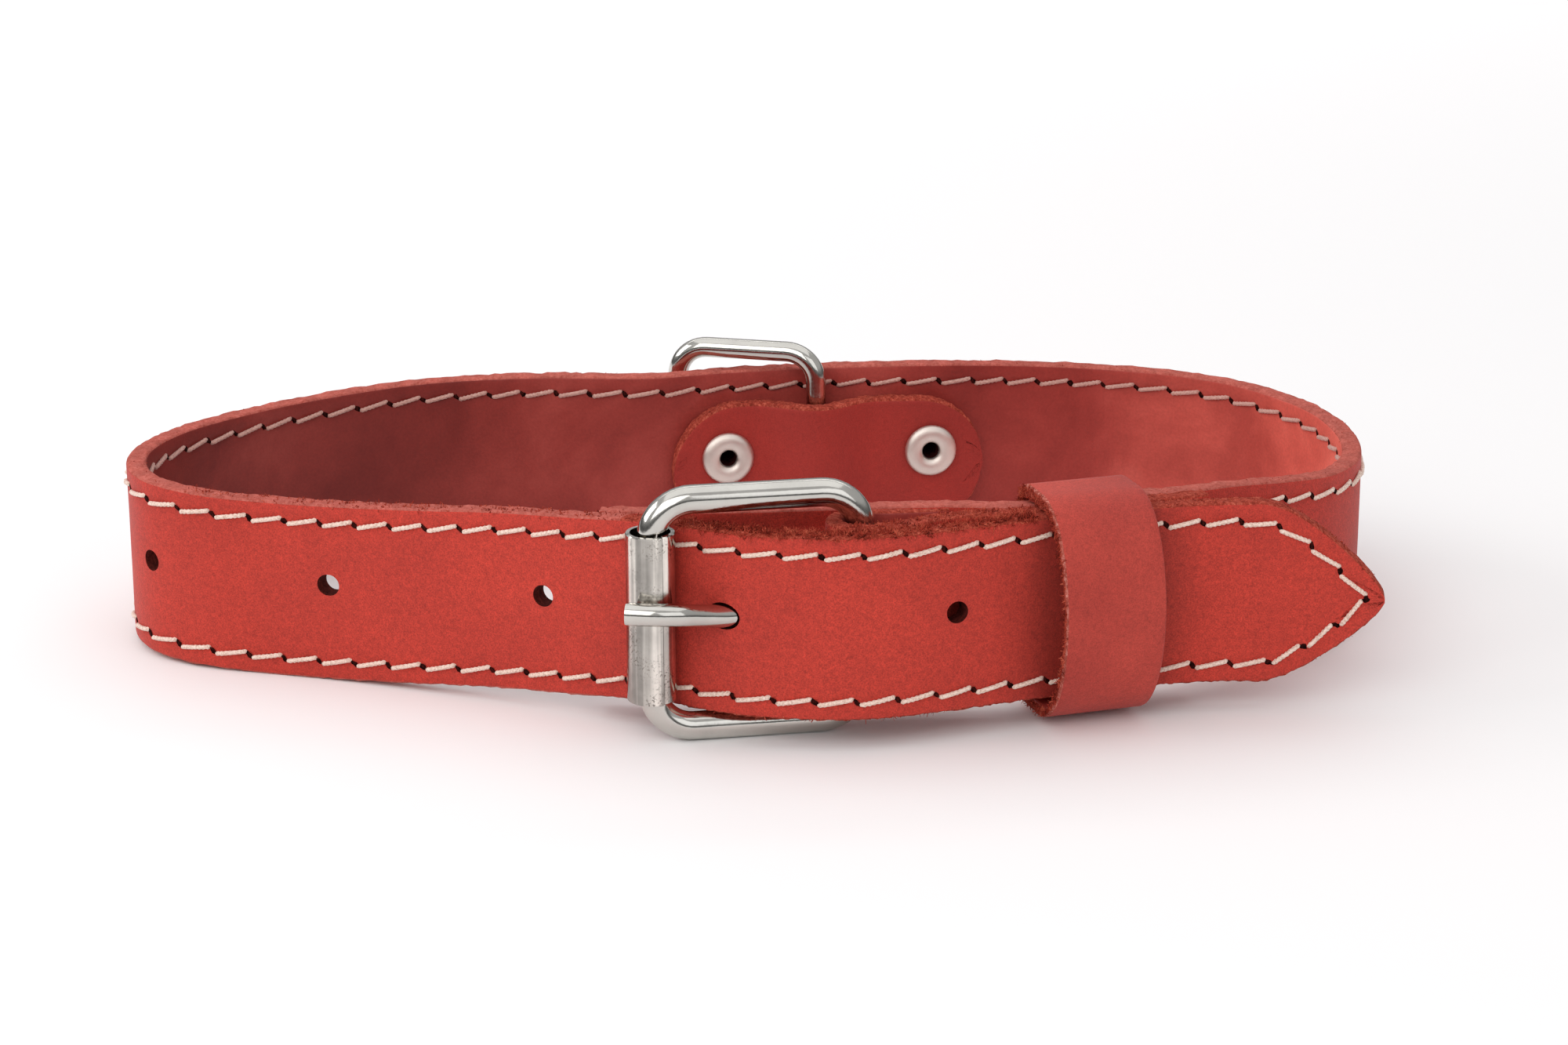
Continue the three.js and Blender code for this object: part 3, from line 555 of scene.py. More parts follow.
class Nodes:
    """Short calls for building a material's nodes."""

    def __init__(self, name):
        self.material = bpy.data.materials.new(name)
        self.material.use_nodes = True
        self.tree = self.material.node_tree
        self.tree.nodes.clear()
        self.out = self.tree.nodes.new("ShaderNodeOutputMaterial")
        self.shader = self.tree.nodes.new("ShaderNodeBsdfPrincipled")
        self.link(self.shader.outputs[0], self.out.inputs[0])
        self.place = self.tree.nodes.new("ShaderNodeTexCoord").outputs["Object"]

    def link(self, source, target):
        self.tree.links.new(source, target)

    def feed(self, value, socket):
        """Links another node's output, or sets a plain value."""
        if isinstance(value, bpy.types.NodeSocket):
            self.link(value, socket)
        else:
            socket.default_value = value

    def stretch(self, x, y, z):
        node = self.tree.nodes.new("ShaderNodeMapping")
        node.inputs["Scale"].default_value = (x, y, z)
        self.link(self.place, node.inputs["Vector"])
        return node.outputs[0]

    def across(self, start, end):
        """How far a place lies from left to right, from 0 to 1."""
        split = self.tree.nodes.new("ShaderNodeSeparateXYZ")
        self.link(self.place, split.inputs[0])
        span = self.tree.nodes.new("ShaderNodeMapRange")
        span.inputs["From Min"].default_value = start
        span.inputs["From Max"].default_value = end
        self.link(split.outputs["X"], span.inputs["Value"])
        return span.outputs[0]

    def apart(self, place):
        """How far a point of the surface lies from an upright line at a place, in metres."""
        node = self.tree.nodes.new("ShaderNodeVectorMath")
        node.operation = "DISTANCE"
        self.link(self.stretch(1, 1, 0), node.inputs[0])
        node.inputs[1].default_value = (place.x, place.y, 0)
        return node.outputs["Value"]

    def noise(self, scale, detail=2.0, rough=0.5, vector=None, distortion=0.0):
        node = self.tree.nodes.new("ShaderNodeTexNoise")
        node.inputs["Scale"].default_value = scale
        node.inputs["Detail"].default_value = detail
        node.inputs["Roughness"].default_value = rough
        node.inputs["Distortion"].default_value = distortion
        self.link(vector or self.place, node.inputs["Vector"])
        return node.outputs["Fac"]

    def ramp(self, value, *stops):
        node = self.tree.nodes.new("ShaderNodeValToRGB")
        elements = node.color_ramp.elements
        while len(elements) < len(stops):
            elements.new(0.5)
        for element, (place, color) in zip(elements, stops):
            element.position = place
            element.color = color if len(color) == 4 else (*color, 1)
        self.link(value, node.inputs[0])
        return node.outputs[0]

    def shades(self, value, *stops):
        """A ramp of greys."""
        return self.ramp(value, *((place, (tone, tone, tone, 1)) for place, tone in stops))

    def times(self, share, color, by):
        """The colour, multiplied by another in part."""
        return self.mix(share, color, by, "MULTIPLY")

    def mix(self, share, a, b, blend="MIX"):
        node = self.tree.nodes.new("ShaderNodeMix")
        node.data_type = "RGBA"
        node.blend_type = blend
        self.feed(share, node.inputs[0])
        self.feed(a, node.inputs[6])
        self.feed(b, node.inputs[7])
        return node.outputs[2]

    def math(self, operation, a, b):
        node = self.tree.nodes.new("ShaderNodeMath")
        node.operation = operation
        self.feed(a, node.inputs[0])
        self.feed(b, node.inputs[1])
        return node.outputs[0]

    def bump(self, height, strength, distance, under=None):
        node = self.tree.nodes.new("ShaderNodeBump")
        node.inputs["Strength"].default_value = strength
        node.inputs["Distance"].default_value = distance
        self.link(height, node.inputs["Height"])
        if under:
            self.link(under, node.inputs["Normal"])
        return node.outputs[0]

    def finish(self, color, roughness, normal=None, **fixed):
        """The shader's inputs; fixed ones are set on its own sockets."""
        self.feed(color, self.shader.inputs["Base Color"])
        self.feed(roughness, self.shader.inputs["Roughness"])
        if normal:
            self.link(normal, self.shader.inputs["Normal"])
        for name, value in fixed.items():
            self.shader.inputs[name.replace("_", " ")].default_value = value
        return self.material


def leather_outside(name, light, dark, nap, shaded_beside=None):
    """Matt dyed leather with a fine nap and soft blotches; where a place is given, painted shade
    darkens it close to that place, as round the keeper.
    """
    n = Nodes(name)
    blotch = n.noise(45, 3, 0.55)
    grain = n.noise(5200, 2, 0.6)
    coarse = n.noise(1500, 3, 0.6)
    mottle = n.noise(420, 4, 0.6)
    color = n.mix(n.shades(blotch, (0.35, 0), (0.68, 1)), dark, light)
    color = n.times(nap, color, n.shades(grain, (0.32, 0.62), (0.5, 0.98), (0.7, 1.28)))
    color = n.times(0.7 * nap, color, n.shades(coarse, (0.3, 0.74), (0.7, 1.24)))
    color = n.times(0.25 * nap, color, n.shades(mottle, (0.32, 0.84), (0.68, 1.12)))
    # Painted shade: darker close to the given place, as beside the keeper, fading out further away.
    if shaded_beside:
        away = n.math("DIVIDE", n.apart(shaded_beside), KEEPER_SHADE_REACH)
        color = n.times(1.0, color, n.shades(away, (0.36, 0.62), (0.5, 0.8), (0.75, 1)))
    height = n.math("ADD", grain, n.math("MULTIPLY", coarse, 0.8))
    roughness = n.shades(blotch, (0.3, 0.62), (0.7, 0.74))
    normal = n.bump(height, 0.35, 0.00012)
    return n.finish(color, roughness, normal, Sheen_Weight=0.05, Sheen_Roughness=0.5,
                    Specular_IOR_Level=0.3)


def leather_edge(name, dark, middle, light, rise):
    """A raw cut edge: layered fibres, rougher than the face."""
    n = Nodes(name)
    fibres = n.noise(2300, 4, 0.7, n.stretch(1, 1, 0.55), 0.6)
    clumps = n.noise(520, 3, 0.6)
    color = n.ramp(fibres, (0.3, dark), (0.5, middle), (0.7, light))
    color = n.times(0.6, color, n.shades(clumps, (0.35, 0.7), (0.65, 1.15)))
    height = n.math("ADD", fibres, clumps)
    return n.finish(color, 0.9, n.bump(height, rise, 0.0004), Specular_IOR_Level=0.1)


def leather_flesh():
    """The inner side of the strap: cloudy, with a painted light-and-shade gradient across the loop,
    darker towards the left end and paler towards the right end.
    """
    n = Nodes("flesh_side")
    cloud = n.noise(38, 4, 0.6, None, 0.4)
    fine = n.noise(2600, 3, 0.6)
    color = n.ramp(cloud, (0.33, (0.22, 0.019, 0.014)), (0.52, (0.33, 0.036, 0.027)),
                   (0.72, (0.45, 0.065, 0.05)))
    color = n.times(0.5, color, n.shades(fine, (0.3, 0.75), (0.7, 1.15)))
    # Painted light and shade across the loop: darker to the left, paler and pinker to the right.
    painted_light_and_shade = n.ramp(n.across(*FLESH_SPAN), (0.1, (0.72, 0.72, 0.72)), (0.5, (0.98, 0.98, 0.98)),
                  (0.79, (1.05, 1.05, 1.05)), (0.88, (1.9, 2.8, 2.7)))
    color = n.times(1.0, color, painted_light_and_shade)
    return n.finish(color, 0.5, n.bump(fine, 0.3, 0.0001), Specular_IOR_Level=0.35)


def thread(name, dark, middle, light):
    """Matt sewing thread."""
    n = Nodes(name)
    strands = n.noise(3800, 3, 0.6)
    color = n.ramp(strands, (0.3, dark), (0.52, middle), (0.75, light))
    return n.finish(color, 0.65, n.bump(strands, 0.3, 0.00008), Sheen_Weight=0.2)


def speckled(name, scale, roughness, gloss, *stops):
    """Plain matt stuff in mixed tones."""
    n = Nodes(name)
    return n.finish(n.ramp(n.noise(scale), *stops), roughness, Specular_IOR_Level=gloss)


def nickel(name, color, rough, pits=0.0):
    """Nickel plating with faint draw marks, small dents and, where asked, streaks and dark pits."""
    n = Nodes(name)
    smear = n.noise(160, 4, 0.6)
    fine = n.noise(2600, 3, 0.65)
    tone = n.ramp(smear, (0.3, tuple(0.86 * c for c in color)), (0.7, color))
    if pits:
        streak = n.noise(900, 2, 0.5, n.stretch(1, 1, 0.03))
        cloud = n.noise(230, 3, 0.6)
        tone = n.times(1.0, tone, n.shades(streak, (0.36, 0.5), (0.5, 0.8), (0.62, 1.25)))
        tone = n.times(0.7, tone, n.shades(cloud, (0.35, 0.75), (0.65, 1.15)))
        speck = n.shades(n.noise(3400, 2, 0.75), (0.56, 0), (0.62, 1))
        zone = n.shades(n.noise(190, 1, 0.4), (0.5, 0), (0.62, 1))
        spots = n.math("MULTIPLY", speck, zone)
        tone = n.mix(n.math("MULTIPLY", spots, pits), tone, (0.12, 0.1, 0.085, 1))
    low, high = rough
    blend = n.math("ADD", n.math("MULTIPLY", smear, 0.6), n.math("MULTIPLY", fine, 0.4))
    roughness = n.shades(blend, (0.35, low), (0.65, high))
    normal = n.bump(n.noise(700, 2, 0.5), 0.12, 0.00006, n.bump(fine, 0.12, 0.00003))
    return n.finish(tone, roughness, normal, Metallic=1.0)


# The strap's outside carries painted shade round the keeper.
OUTSIDE = leather_outside("strap_outside", (0.53, 0.044, 0.027, 1), (0.45, 0.034, 0.021, 1), 0.8,
                          keeper_middle)
KEEPER = leather_outside("keeper_outside", (0.5, 0.058, 0.04, 1), (0.36, 0.034, 0.024, 1), 0.6)
TAB = leather_outside("tab_outside", (0.37, 0.028, 0.02, 1), (0.3, 0.023, 0.017, 1), 0.35)
EDGE = leather_edge("cut_edge", (0.15, 0.018, 0.011), (0.4, 0.055, 0.034), (0.62, 0.14, 0.09), 0.8)
PALE_EDGE = leather_edge("pale_edge", (0.34, 0.06, 0.045), (0.47, 0.11, 0.085), (0.56, 0.16, 0.13), 0.2)
KEEPER_RIM = leather_edge("keeper_rim", (0.2, 0.03, 0.02), (0.42, 0.09, 0.065), (0.68, 0.28, 0.23), 0.7)
# Much darker than the cut edges: painted shade inside the strap's holes.
HOLE_WALL_SHADE = leather_edge("hole_wall_shade", (0.03, 0.005, 0.004), (0.09, 0.012, 0.009),
                         (0.16, 0.025, 0.018), 0.5)
FLESH = leather_flesh()
FIBRE = speckled("loose_fibres", 900, 0.85, 0.08, (0.3, (0.13, 0.014, 0.008)),
                 (0.5, (0.38, 0.045, 0.026)), (0.7, (0.6, 0.13, 0.075)))
THREAD = thread("thread", (0.55, 0.35, 0.27), (0.82, 0.62, 0.52), (0.92, 0.78, 0.7))
# Darker, pinker thread for the flesh-side stitches: painted shade inside the loop.
SHADED_THREAD = thread("shaded_thread", (0.4, 0.19, 0.15), (0.55, 0.3, 0.25), (0.66, 0.42, 0.35))
# Near-black: painted shade in the needle holes and the rivets' hollows.
HOLE_SHADE = speckled("painted_hole_shade", 2500, 0.9, 0.05, (0.4, (0.012, 0.002, 0.002)),
                (0.6, (0.05, 0.008, 0.006)))
WIRE_NICKEL = nickel("nickel_wire", (0.62, 0.6, 0.56, 1), (0.07, 0.17))
SHEET_NICKEL = nickel("nickel_sheet", (0.68, 0.64, 0.59, 1), (0.1, 0.2), pits=0.8)
RIVET = nickel("rivet_metal", (0.8, 0.71, 0.65, 1), (0.4, 0.55))


# Pieces


def keep(piece, slot, *nodes, body="collar"):
    """The piece rides on a body and stands for CAD nodes; the slot it is given is not used."""
    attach(piece, body)
    if nodes:
        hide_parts(*nodes)
    return piece


def prong_path(steps=60):
    """The prong's middle line, from its tip over the roller and through the strap to the hinge post."""
    off = (roller_high.x - roller_low.x) / 2 + GAP + PRONG_RADIUS
    back = (hinge - roller_middle).y
    knots = [(-PRONG_OVERHANG, GAP - off, PRONG_RISE)]
    knots += [(x * FRAME_REACH, -y * off, z * PRONG_RISE) for x, y, z in PRONG_BENDS]
    knots += [(x * FRAME_REACH, y * back, 0) for x, y in PRONG_TAIL]
    knots.append((hinge.x - roller_middle.x - WIRE / 2 - GAP - PRONG_EYE / 4, back, 0))
    knots = np.array(knots)
    spacing = np.concatenate([[0], np.cumsum(np.linalg.norm(np.diff(knots, axis=0), axis=1))])
    fine = np.linspace(0, spacing[-1], steps)
    return [roller_middle + Vector(p) for p in smooth_values(spacing, knots, fine)]


def hole_rims():
    """The rims of the strap's holes, read off the CAD strap."""
    places, links = corners_of("strap")
    seen = set()
    rims = []
    for start in links:
        if start in seen:
            continue
        group = []
        stack = [start]
        while stack:
            at = stack.pop()
            if at in seen:
                continue
            seen.add(at)
            group.append(at)
            stack += links[at]
        if len(group) < HOLE_RIM_MOST:
            rims.append([places[i] for i in group])
    return rims


def make_cutters():
    """One smooth cutter for each hole: the rims on both faces of the strap, joined in pairs."""
    rims = hole_rims()
    middles = [sum(rim, Vector()) / len(rim) for rim in rims]
    cutters = []
    for i, j in itertools.combinations(range(len(rims)), 2):
        through = middles[j] - middles[i]
        at_prong = (middles[i] - roller_middle).length < PRONG_HOLE_WITHIN
        if through.length > HOLE_PAIR_WITHIN or at_prong:
            continue
        axis = through.normalized()
        axis.z = 0
        axis.normalize()
        side = Vector((-axis.y, axis.x, 0))
        centre = (middles[i] + middles[j]) / 2
        points = rims[i] + rims[j]
        wide = max(abs((p - centre).dot(side)) for p in points)
        tall = max(abs(p.z - centre.z) for p in points)
        cutters.append(cutter(centre, axis, wide, tall))
    cutters.append(mesh_piece("cutter", *tube(prong_path(), PRONG_RADIUS + GAP, PRONG_SIDES)))
    return cutters


def cutter(centre, axis, wide, tall, steps=40):
    """A long hole's cutter: round ends of the hole's half height, and straight between."""
    side = Vector((-axis.y, axis.x, 0))
    straight = max(wide - tall, 0)
    verts = []
    for reach in (-CUTTER_REACH, CUTTER_REACH):
        for turn in turns(steps):
            shift = straight if math.cos(turn) > 0 else -straight
            offset = side * (shift + tall * math.cos(turn)) + Vector((0, 0, tall * math.sin(turn)))
            verts.append(centre + axis * reach + offset)
    return mesh_piece("cutter", verts, cap_faces(2, steps) + ring_faces(2, steps))


def make_strap():
    piece = leather_band("strap_leather", strap_band, STRAP_STEP, STRAP_ROUND,
                         (OUTSIDE, EDGE, FLESH, PALE_EDGE, HOLE_WALL_SHADE), GROOVE_DEPTH, fine=FINE_REACH)
    # The new hole walls take slot 4, dark with painted shade.
    cut_holes(piece, make_cutters(), 4)
    sharpen(piece, LEATHER_CREASE)
    return keep(piece, "strap_leather", "strap")


def make_chape():
    piece = leather_band("chape_leather", Band("chape"), SHORT_STEP, STRAP_ROUND,
                         (OUTSIDE, EDGE, FLESH))
    reach = WIRE / 2 + PRONG_SLOT_REACH
    half = PRONG_RADIUS + PRONG_SLOT_SLACK
    corners = [(x, y, z) for x in (-1, 1) for y in (-1, 1) for z in (-1, 1)]
    verts = [hinge + Vector((x * reach, y * PRONG_SLOT_DEPTH, z * half)) for x, y, z in corners]
    faces = [(0, 1, 3, 2), (4, 5, 7, 6), (0, 1, 5, 4), (2, 3, 7, 6), (0, 2, 6, 4), (1, 3, 7, 5)]
    cut_holes(piece, [mesh_piece("cutter", verts, faces)], 1)
    sharpen(piece, LEATHER_CREASE)
    return keep(piece, "strap_leather", "chape")


def make_tab():
    band = TabBand(strap_band, ring_bar)
    piece = leather_band("tab_leather", band, SHORT_STEP, TAB_ROUND, (TAB, EDGE, FLESH), 0, TAB_RIPPLE)
    cutters = []
    for node in ("rivet_left", "rivet_right"):
        seat_in, _, axis, _ = rivet_seats(node)
        cutters.append(cutter(seat_in, axis, RIVET_SHANK + GAP, RIVET_SHANK + GAP))
    cut_holes(piece, cutters, 1)
    sharpen(piece, LEATHER_CREASE)
    return keep(piece, "strap_leather", "ring_tab")


# Stitches

def stitch_rows(band):
    """Two rows of needle holes, each walked towards the strap's point: (distance, height) places."""
    fine = np.arange(ROW_INSET, band.length, ROW_STEP)
    _, _, low, top, _ = band.at(fine)
    rows = []
    for edge, inward in ((top, -1), (low, 1)):
        slope = np.gradient(edge, fine)
        height = edge + inward * ROW_INSET * np.sqrt(1 + slope ** 2)
        rows.append(height)
    inside = rows[0] > rows[1]
    last = np.argmax(~inside) if not inside.all() else len(fine) - 1
    holes = []
    for height in rows:
        steps = np.hypot(np.diff(fine[:last]), np.diff(height[:last]))
        walked = np.concatenate([[0], np.cumsum(steps)])
        count = int(walked[-1] / STITCH_PITCH)
        at = walked[-1] - STITCH_PITCH * np.arange(count, -1, -1)
        at = at[at >= 0]
        heights = np.interp(at, walked, height[:last])
        holes.append(list(zip(np.interp(at, walked, fine[:last]), heights)))
    return holes


def on_face(band, distance, height, lift, face):
    """A place over one face of a band; face is 1 outside and -1 on the flesh side."""
    middle, out, _, _, thick = band.at([distance])
    return beside(middle[0], out[0], face * (thick[0] / 2 + lift), height)


def one_stitch(band, start, end, face):
    """A twisted thread from one needle hole to the next, dipping into both."""
    along = Vector((end[0] - start[0], end[1] - start[1]))
    length = along.length
    along.normalize()
    left = Vector((-along.y, along.x))
    path = []
    for k in range(STITCH_STEPS + 1):
        share = k / STITCH_STEPS
        reach = STITCH_GAP / 2 + share * (length - STITCH_GAP)
        slant = STITCH_SLANT * (2 * share - 1) * face
        rim = min(share, 1 - share) * STITCH_STEPS
        lift = THREAD_RISE + 0.1 * MM * math.sin(math.pi * share)
        lift -= THREAD_DIP * max(0, 1 - rim / 1.3) ** 1.5
        place = Vector(start) + along * reach + left * (slant + dice.uniform(-1, 1) * STITCH_WANDER)
        path.append(on_face(band, place.x, place.y, lift, face))
    phase = dice.uniform(0, math.pi)
    twists = 2 * math.pi * THREAD_TWISTS / STITCH_STEPS

    def bumps(i, turn):
        return 0.92 + 0.17 * math.cos(2 * (turn - twists * i) + phase)

    def radii(i):
        return THREAD_RADIUS * (0.8 if i in (0, STITCH_STEPS) else 1)

    return tube(path, radii, 10, False, bumps)


def one_slit(band, hole, walk, face):
    """A slanted slit where the needle went through, dark with painted shade."""
    along = Vector(walk).normalized()
    left = Vector((-along.y, along.x))
    lean = (along - left * face).normalized()
    across = Vector((-lean.y, lean.x))
    verts = []
    for turn in turns(SLIT_STEPS):
        ragged = 1 + dice.uniform(-0.4, 0.2)
        place = (Vector(hole) + lean * (SLIT_LENGTH / 2 * math.cos(turn) * ragged)
                 + across * (SLIT_WIDTH / 2 * math.sin(turn) * ragged))
        verts.append(on_face(band, place.x, place.y, SLIT_LIFT, face))
    for k in range(SLIT_STEPS):
        verts.append(verts[k].lerp(on_face(band, hole[0], hole[1], -SLIT_DEPTH, face), 0.35))
    return verts, cap_faces(2, SLIT_STEPS) + ring_faces(2, SLIT_STEPS)


def merged(name, parts, material):
    """One piece from many small closed shapes."""
    verts = []
    faces = []
    for part_verts, part_faces in parts:
        start = len(verts)
        verts += part_verts
        faces += [tuple(start + i for i in face) for face in part_faces]
    return mesh_piece(name, verts, faces, None, (material,))


def make_stitches():
    outside = []
    inside = []
    slits = []
    for row in stitch_rows(strap_band):
        for face, threads in ((1, outside), (-1, inside)):
            for k, hole in enumerate(row):
                if face > 0 and hole[0] < GUARD_PLAIN:
                    continue
                after = row[k + 1] if k + 1 < len(row) else None
                before = row[k - 1] if k else None
                walk = Vector(after or hole) - Vector(before or hole)
                slits.append(one_slit(strap_band, hole, walk, face))
                if after:
                    threads.append(one_stitch(strap_band, hole, after, face))
    keep(merged("stitches_outside", outside, THREAD), "strap_leather")
    keep(merged("stitches_inside", inside, SHADED_THREAD), "strap_leather")
    # Dark slits of painted shade at the needle holes.
    keep(merged("needle_slits_shaded", slits, HOLE_SHADE), "strap_leather")


# Loose fibres on the cut edges

def fibre(place, lead, length):
    """One curly fibre."""
    direction = Vector(lead).normalized()
    path = [place]
    curl = Vector((dice.gauss(0, 1), dice.gauss(0, 1), dice.gauss(0, 1))).normalized()
    for _ in range(FIBRE_STEPS):
        bend = Vector([dice.gauss(0, FIBRE_BEND) for _ in range(3)])
        direction = (direction + curl * FIBRE_CURL + bend).normalized()
        path.append(path[-1] + direction * (length / FIBRE_STEPS))
    radius = dice.uniform(FIBRE_THIN, FIBRE_THICK)
    return tube(path, lambda i: radius * (1 - 0.14 * i), 3)


def edge_fibres(band, start, end, count, reach, lean=0.0, low_edge=False):
    """Fibres along a band's upper or lower edge between two distances, thicker in tufts."""
    parts = []
    distances = []
    while len(distances) < count:
        s = dice.uniform(start, end)
        if noise.noise(Vector((s * FIBRE_TUFTS, 4.4, 0))) > dice.uniform(-0.7, 0.35):
            distances.append(s)
    middle, out, low, top, thick = band.at(distances)
    for i in range(count):
        n = dice.uniform(-0.5, 0.5) * thick[i] * 0.96
        sink = FIBRE_SINK if abs(n) < thick[i] * 0.36 else FIBRE_RIM_SINK
        height = low[i] + sink if low_edge else top[i] - sink
        place = beside(middle[i], out[i], n, height)
        side = (1 if n > 0 else -1) * abs(n) / thick[i] * 2 + lean
        rise = -0.4 if low_edge else 0.5
        lead = (out[i][0] * side + dice.gauss(0, 0.7), out[i][1] * side + dice.gauss(0, 0.7), rise)
        parts.append(fibre(place, lead, dice.uniform(0.35, 1.0) * reach))
    return parts


def strap_fibres(rows):
    """Fibres for rows of: start and end before the strap's point, count, length, lean, lower edge."""
    whole = strap_band.length
    parts = []
    for start, end, count, reach, lean, low_edge in rows:
        first = whole - start * MM if start else 0
        parts += edge_fibres(strap_band, first, whole - end * MM, count, reach * MM, lean, low_edge)
    return parts


def make_fibres():
    keep(merged("edge_fibres_front", strap_fibres(FRONT_FIBRES), FIBRE), "strap_leather")
    parts = strap_fibres(OTHER_FIBRES)
    parts += edge_fibres(Band("chape"), *CHAPE_FIBRES)
    keep(merged("edge_fibres", parts, FIBRE), "strap_leather")


# Buckle

def make_loop(name, node, body, start, far, reach, wire, bend, sides):
    """A bent wire that stands in for a CAD node, from one upright bar to another."""
    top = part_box(node)[1].z - wire / 2
    points = wire_loop(start, far - start, reach, wire / 2, top, bend)
    piece = mesh_piece(name, *tube(points, wire / 2, sides, True), None, (WIRE_NICKEL,))
    keep(piece, "nickel_wire", node, body=body)


def roller_section(outer):
    """Outline of the rolled sheet, outside and then back along the inside."""
    seam = math.radians(ROLLER_SEAM_AT)
    open_half = math.radians(ROLLER_SEAM_HALF)
    section = []
    for side in (0, 1):
        walk = range(ROLLER_STEPS + 1) if side == 0 else range(ROLLER_STEPS, -1, -1)
        for k in walk:
            share = k / ROLLER_STEPS
            turn = seam + open_half + share * (2 * math.pi - 2 * open_half)
            step_in = ROLLER_SEAM_STEP * max(0, 1 - share * 4) ** 1.5
            radius = outer - step_in - side * ROLLER_SHEET
            section.append((radius * math.cos(turn), radius * math.sin(turn)))
    return section


def make_roller():
    """A tube rolled from sheet, open along a seam where one edge lies a little deeper."""
    outer = (roller_high.x - roller_low.x) / 2
    outline = roller_section(outer)
    levels = [
        (roller_low.z, ROLLER_BEVEL),
        (roller_low.z + ROLLER_BEVEL, 0),
        (roller_high.z - ROLLER_BEVEL, 0),
        (roller_high.z, ROLLER_BEVEL),
    ]
    verts = []
    count = len(outline)
    for z, inset in levels:
        for x, y in outline:
            reach = math.hypot(x, y)
            outside = reach > outer - ROLLER_SHEET * 0.99 - ROLLER_SEAM_STEP
            share = (reach + (-inset if outside else inset * 0.5)) / reach
            verts.append((roller_middle.x + x * share, roller_middle.y + y * share, z))
    faces = ring_faces(len(levels), count)
    for base in (0, (len(levels) - 1) * count):
        for k in range(count // 2 - 1):
            faces.append((base + k, base + k + 1, base + count - 2 - k, base + count - 1 - k))
    piece = mesh_piece("roller_tube", verts, faces, None, (SHEET_NICKEL,))
    sharpen(piece, 32)
    return keep(piece, "nickel_sheet", "roller", body="roller")


def make_prong():
    """A bar with a blunt end, from over the roller through the strap to an eye on the hinge post."""
    path = prong_path()
    nose = (path[0] - path[1]).normalized()
    path = [path[0] + nose * 0.02 * MM] + path

    def radii(i):
        return PRONG_RADIUS * (0.86 if i == 0 else 0.97 if i == 1 else 1)

    bar = tube(path, radii, PRONG_SIDES)
    inner = WIRE / 2 + GAP
    outer = inner + PRONG_EYE
    rim = PRONG_RADIUS
    bevel = PRONG_EYE_BEVEL
    eye_profile = [(inner, -rim), (outer - bevel, -rim), (outer, -rim + bevel),
                   (outer, rim - bevel), (outer - bevel, rim), (inner, rim)]
    verts = []
    for radius, z in eye_profile:
        for turn in turns(PRONG_EYE_STEPS):
            verts.append(hinge + Vector((radius * math.cos(turn), radius * math.sin(turn), z)))
    eye = (verts, ring_faces(len(eye_profile), PRONG_EYE_STEPS, True))
    piece = merged("prong_bar", [bar, eye], WIRE_NICKEL)
    sharpen(piece, 40)
    return keep(piece, "nickel_wire", "prong")


# Rivets

def rivet_seats(node):
    """Where a rivet's heads meet the leather inside and outside, its axis and its head's radius."""
    low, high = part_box(node)
    height = (low.z + high.z) / 2
    tops = [p for p in corners_of(node)[0] if p.z > high.z - 0.05 * MM]
    ends = sorted(tops, key=lambda p: p.y)
    inside = Vector((ends[0].x, ends[0].y, height))
    outside = Vector((ends[-1].x, ends[-1].y, height))
    return inside, outside, (inside - outside).normalized(), (high.z - low.z) / 2


def make_rivet(node):
    """A tubular rivet: a rolled rim round a hollow inside, dark with painted shade, a plain dome
    outside.
    """
    seat_in, seat_out, axis, head = rivet_seats(node)
    span = (seat_in - seat_out).length
    point = 0.001 * MM
    profile = [(point, -RIVET_DOME)]
    for k in range(1, 9):
        turn = math.pi / 2 * k / 8
        profile.append((head * math.sin(turn), -RIVET_DOME * math.cos(turn)))
    profile += [
        (head * 0.98, RIVET_SINK),
        (RIVET_SHANK, RIVET_SINK),
        (RIVET_SHANK, span - RIVET_SINK),
        (head * 0.96, span - RIVET_SINK),
    ]
    rim_middle = (head + RIVET_HOLLOW) / 2
    rim_half = (head - RIVET_HOLLOW) / 2
    for k in range(0, 13):
        turn = math.pi * (k / 12)
        rise = RIVET_RIM * math.sin(turn) ** 0.8
        profile.append((rim_middle + rim_half * math.cos(turn), span + rise))
    profile += [
        (RIVET_HOLLOW * 0.98, span - 1.2 * MM),
        (RIVET_HOLLOW * 0.96, 0.6 * MM),
        (point, 0.5 * MM),
    ]
    verts, faces = lathe(profile, seat_out, axis, RIVET_STEPS)
    # The hollow's faces take the near-black painted shade.
    hollow_from = (len(profile) - 4) * RIVET_STEPS
    slots = [1 if i >= hollow_from else 0 for i in range(len(faces))]
    slots[-2] = 0
    piece = mesh_piece(node + "_head", verts, faces, slots, (RIVET, HOLE_SHADE))
    sharpen(piece, 50)
    return keep(piece, "rivet_metal", node)


# Keeper

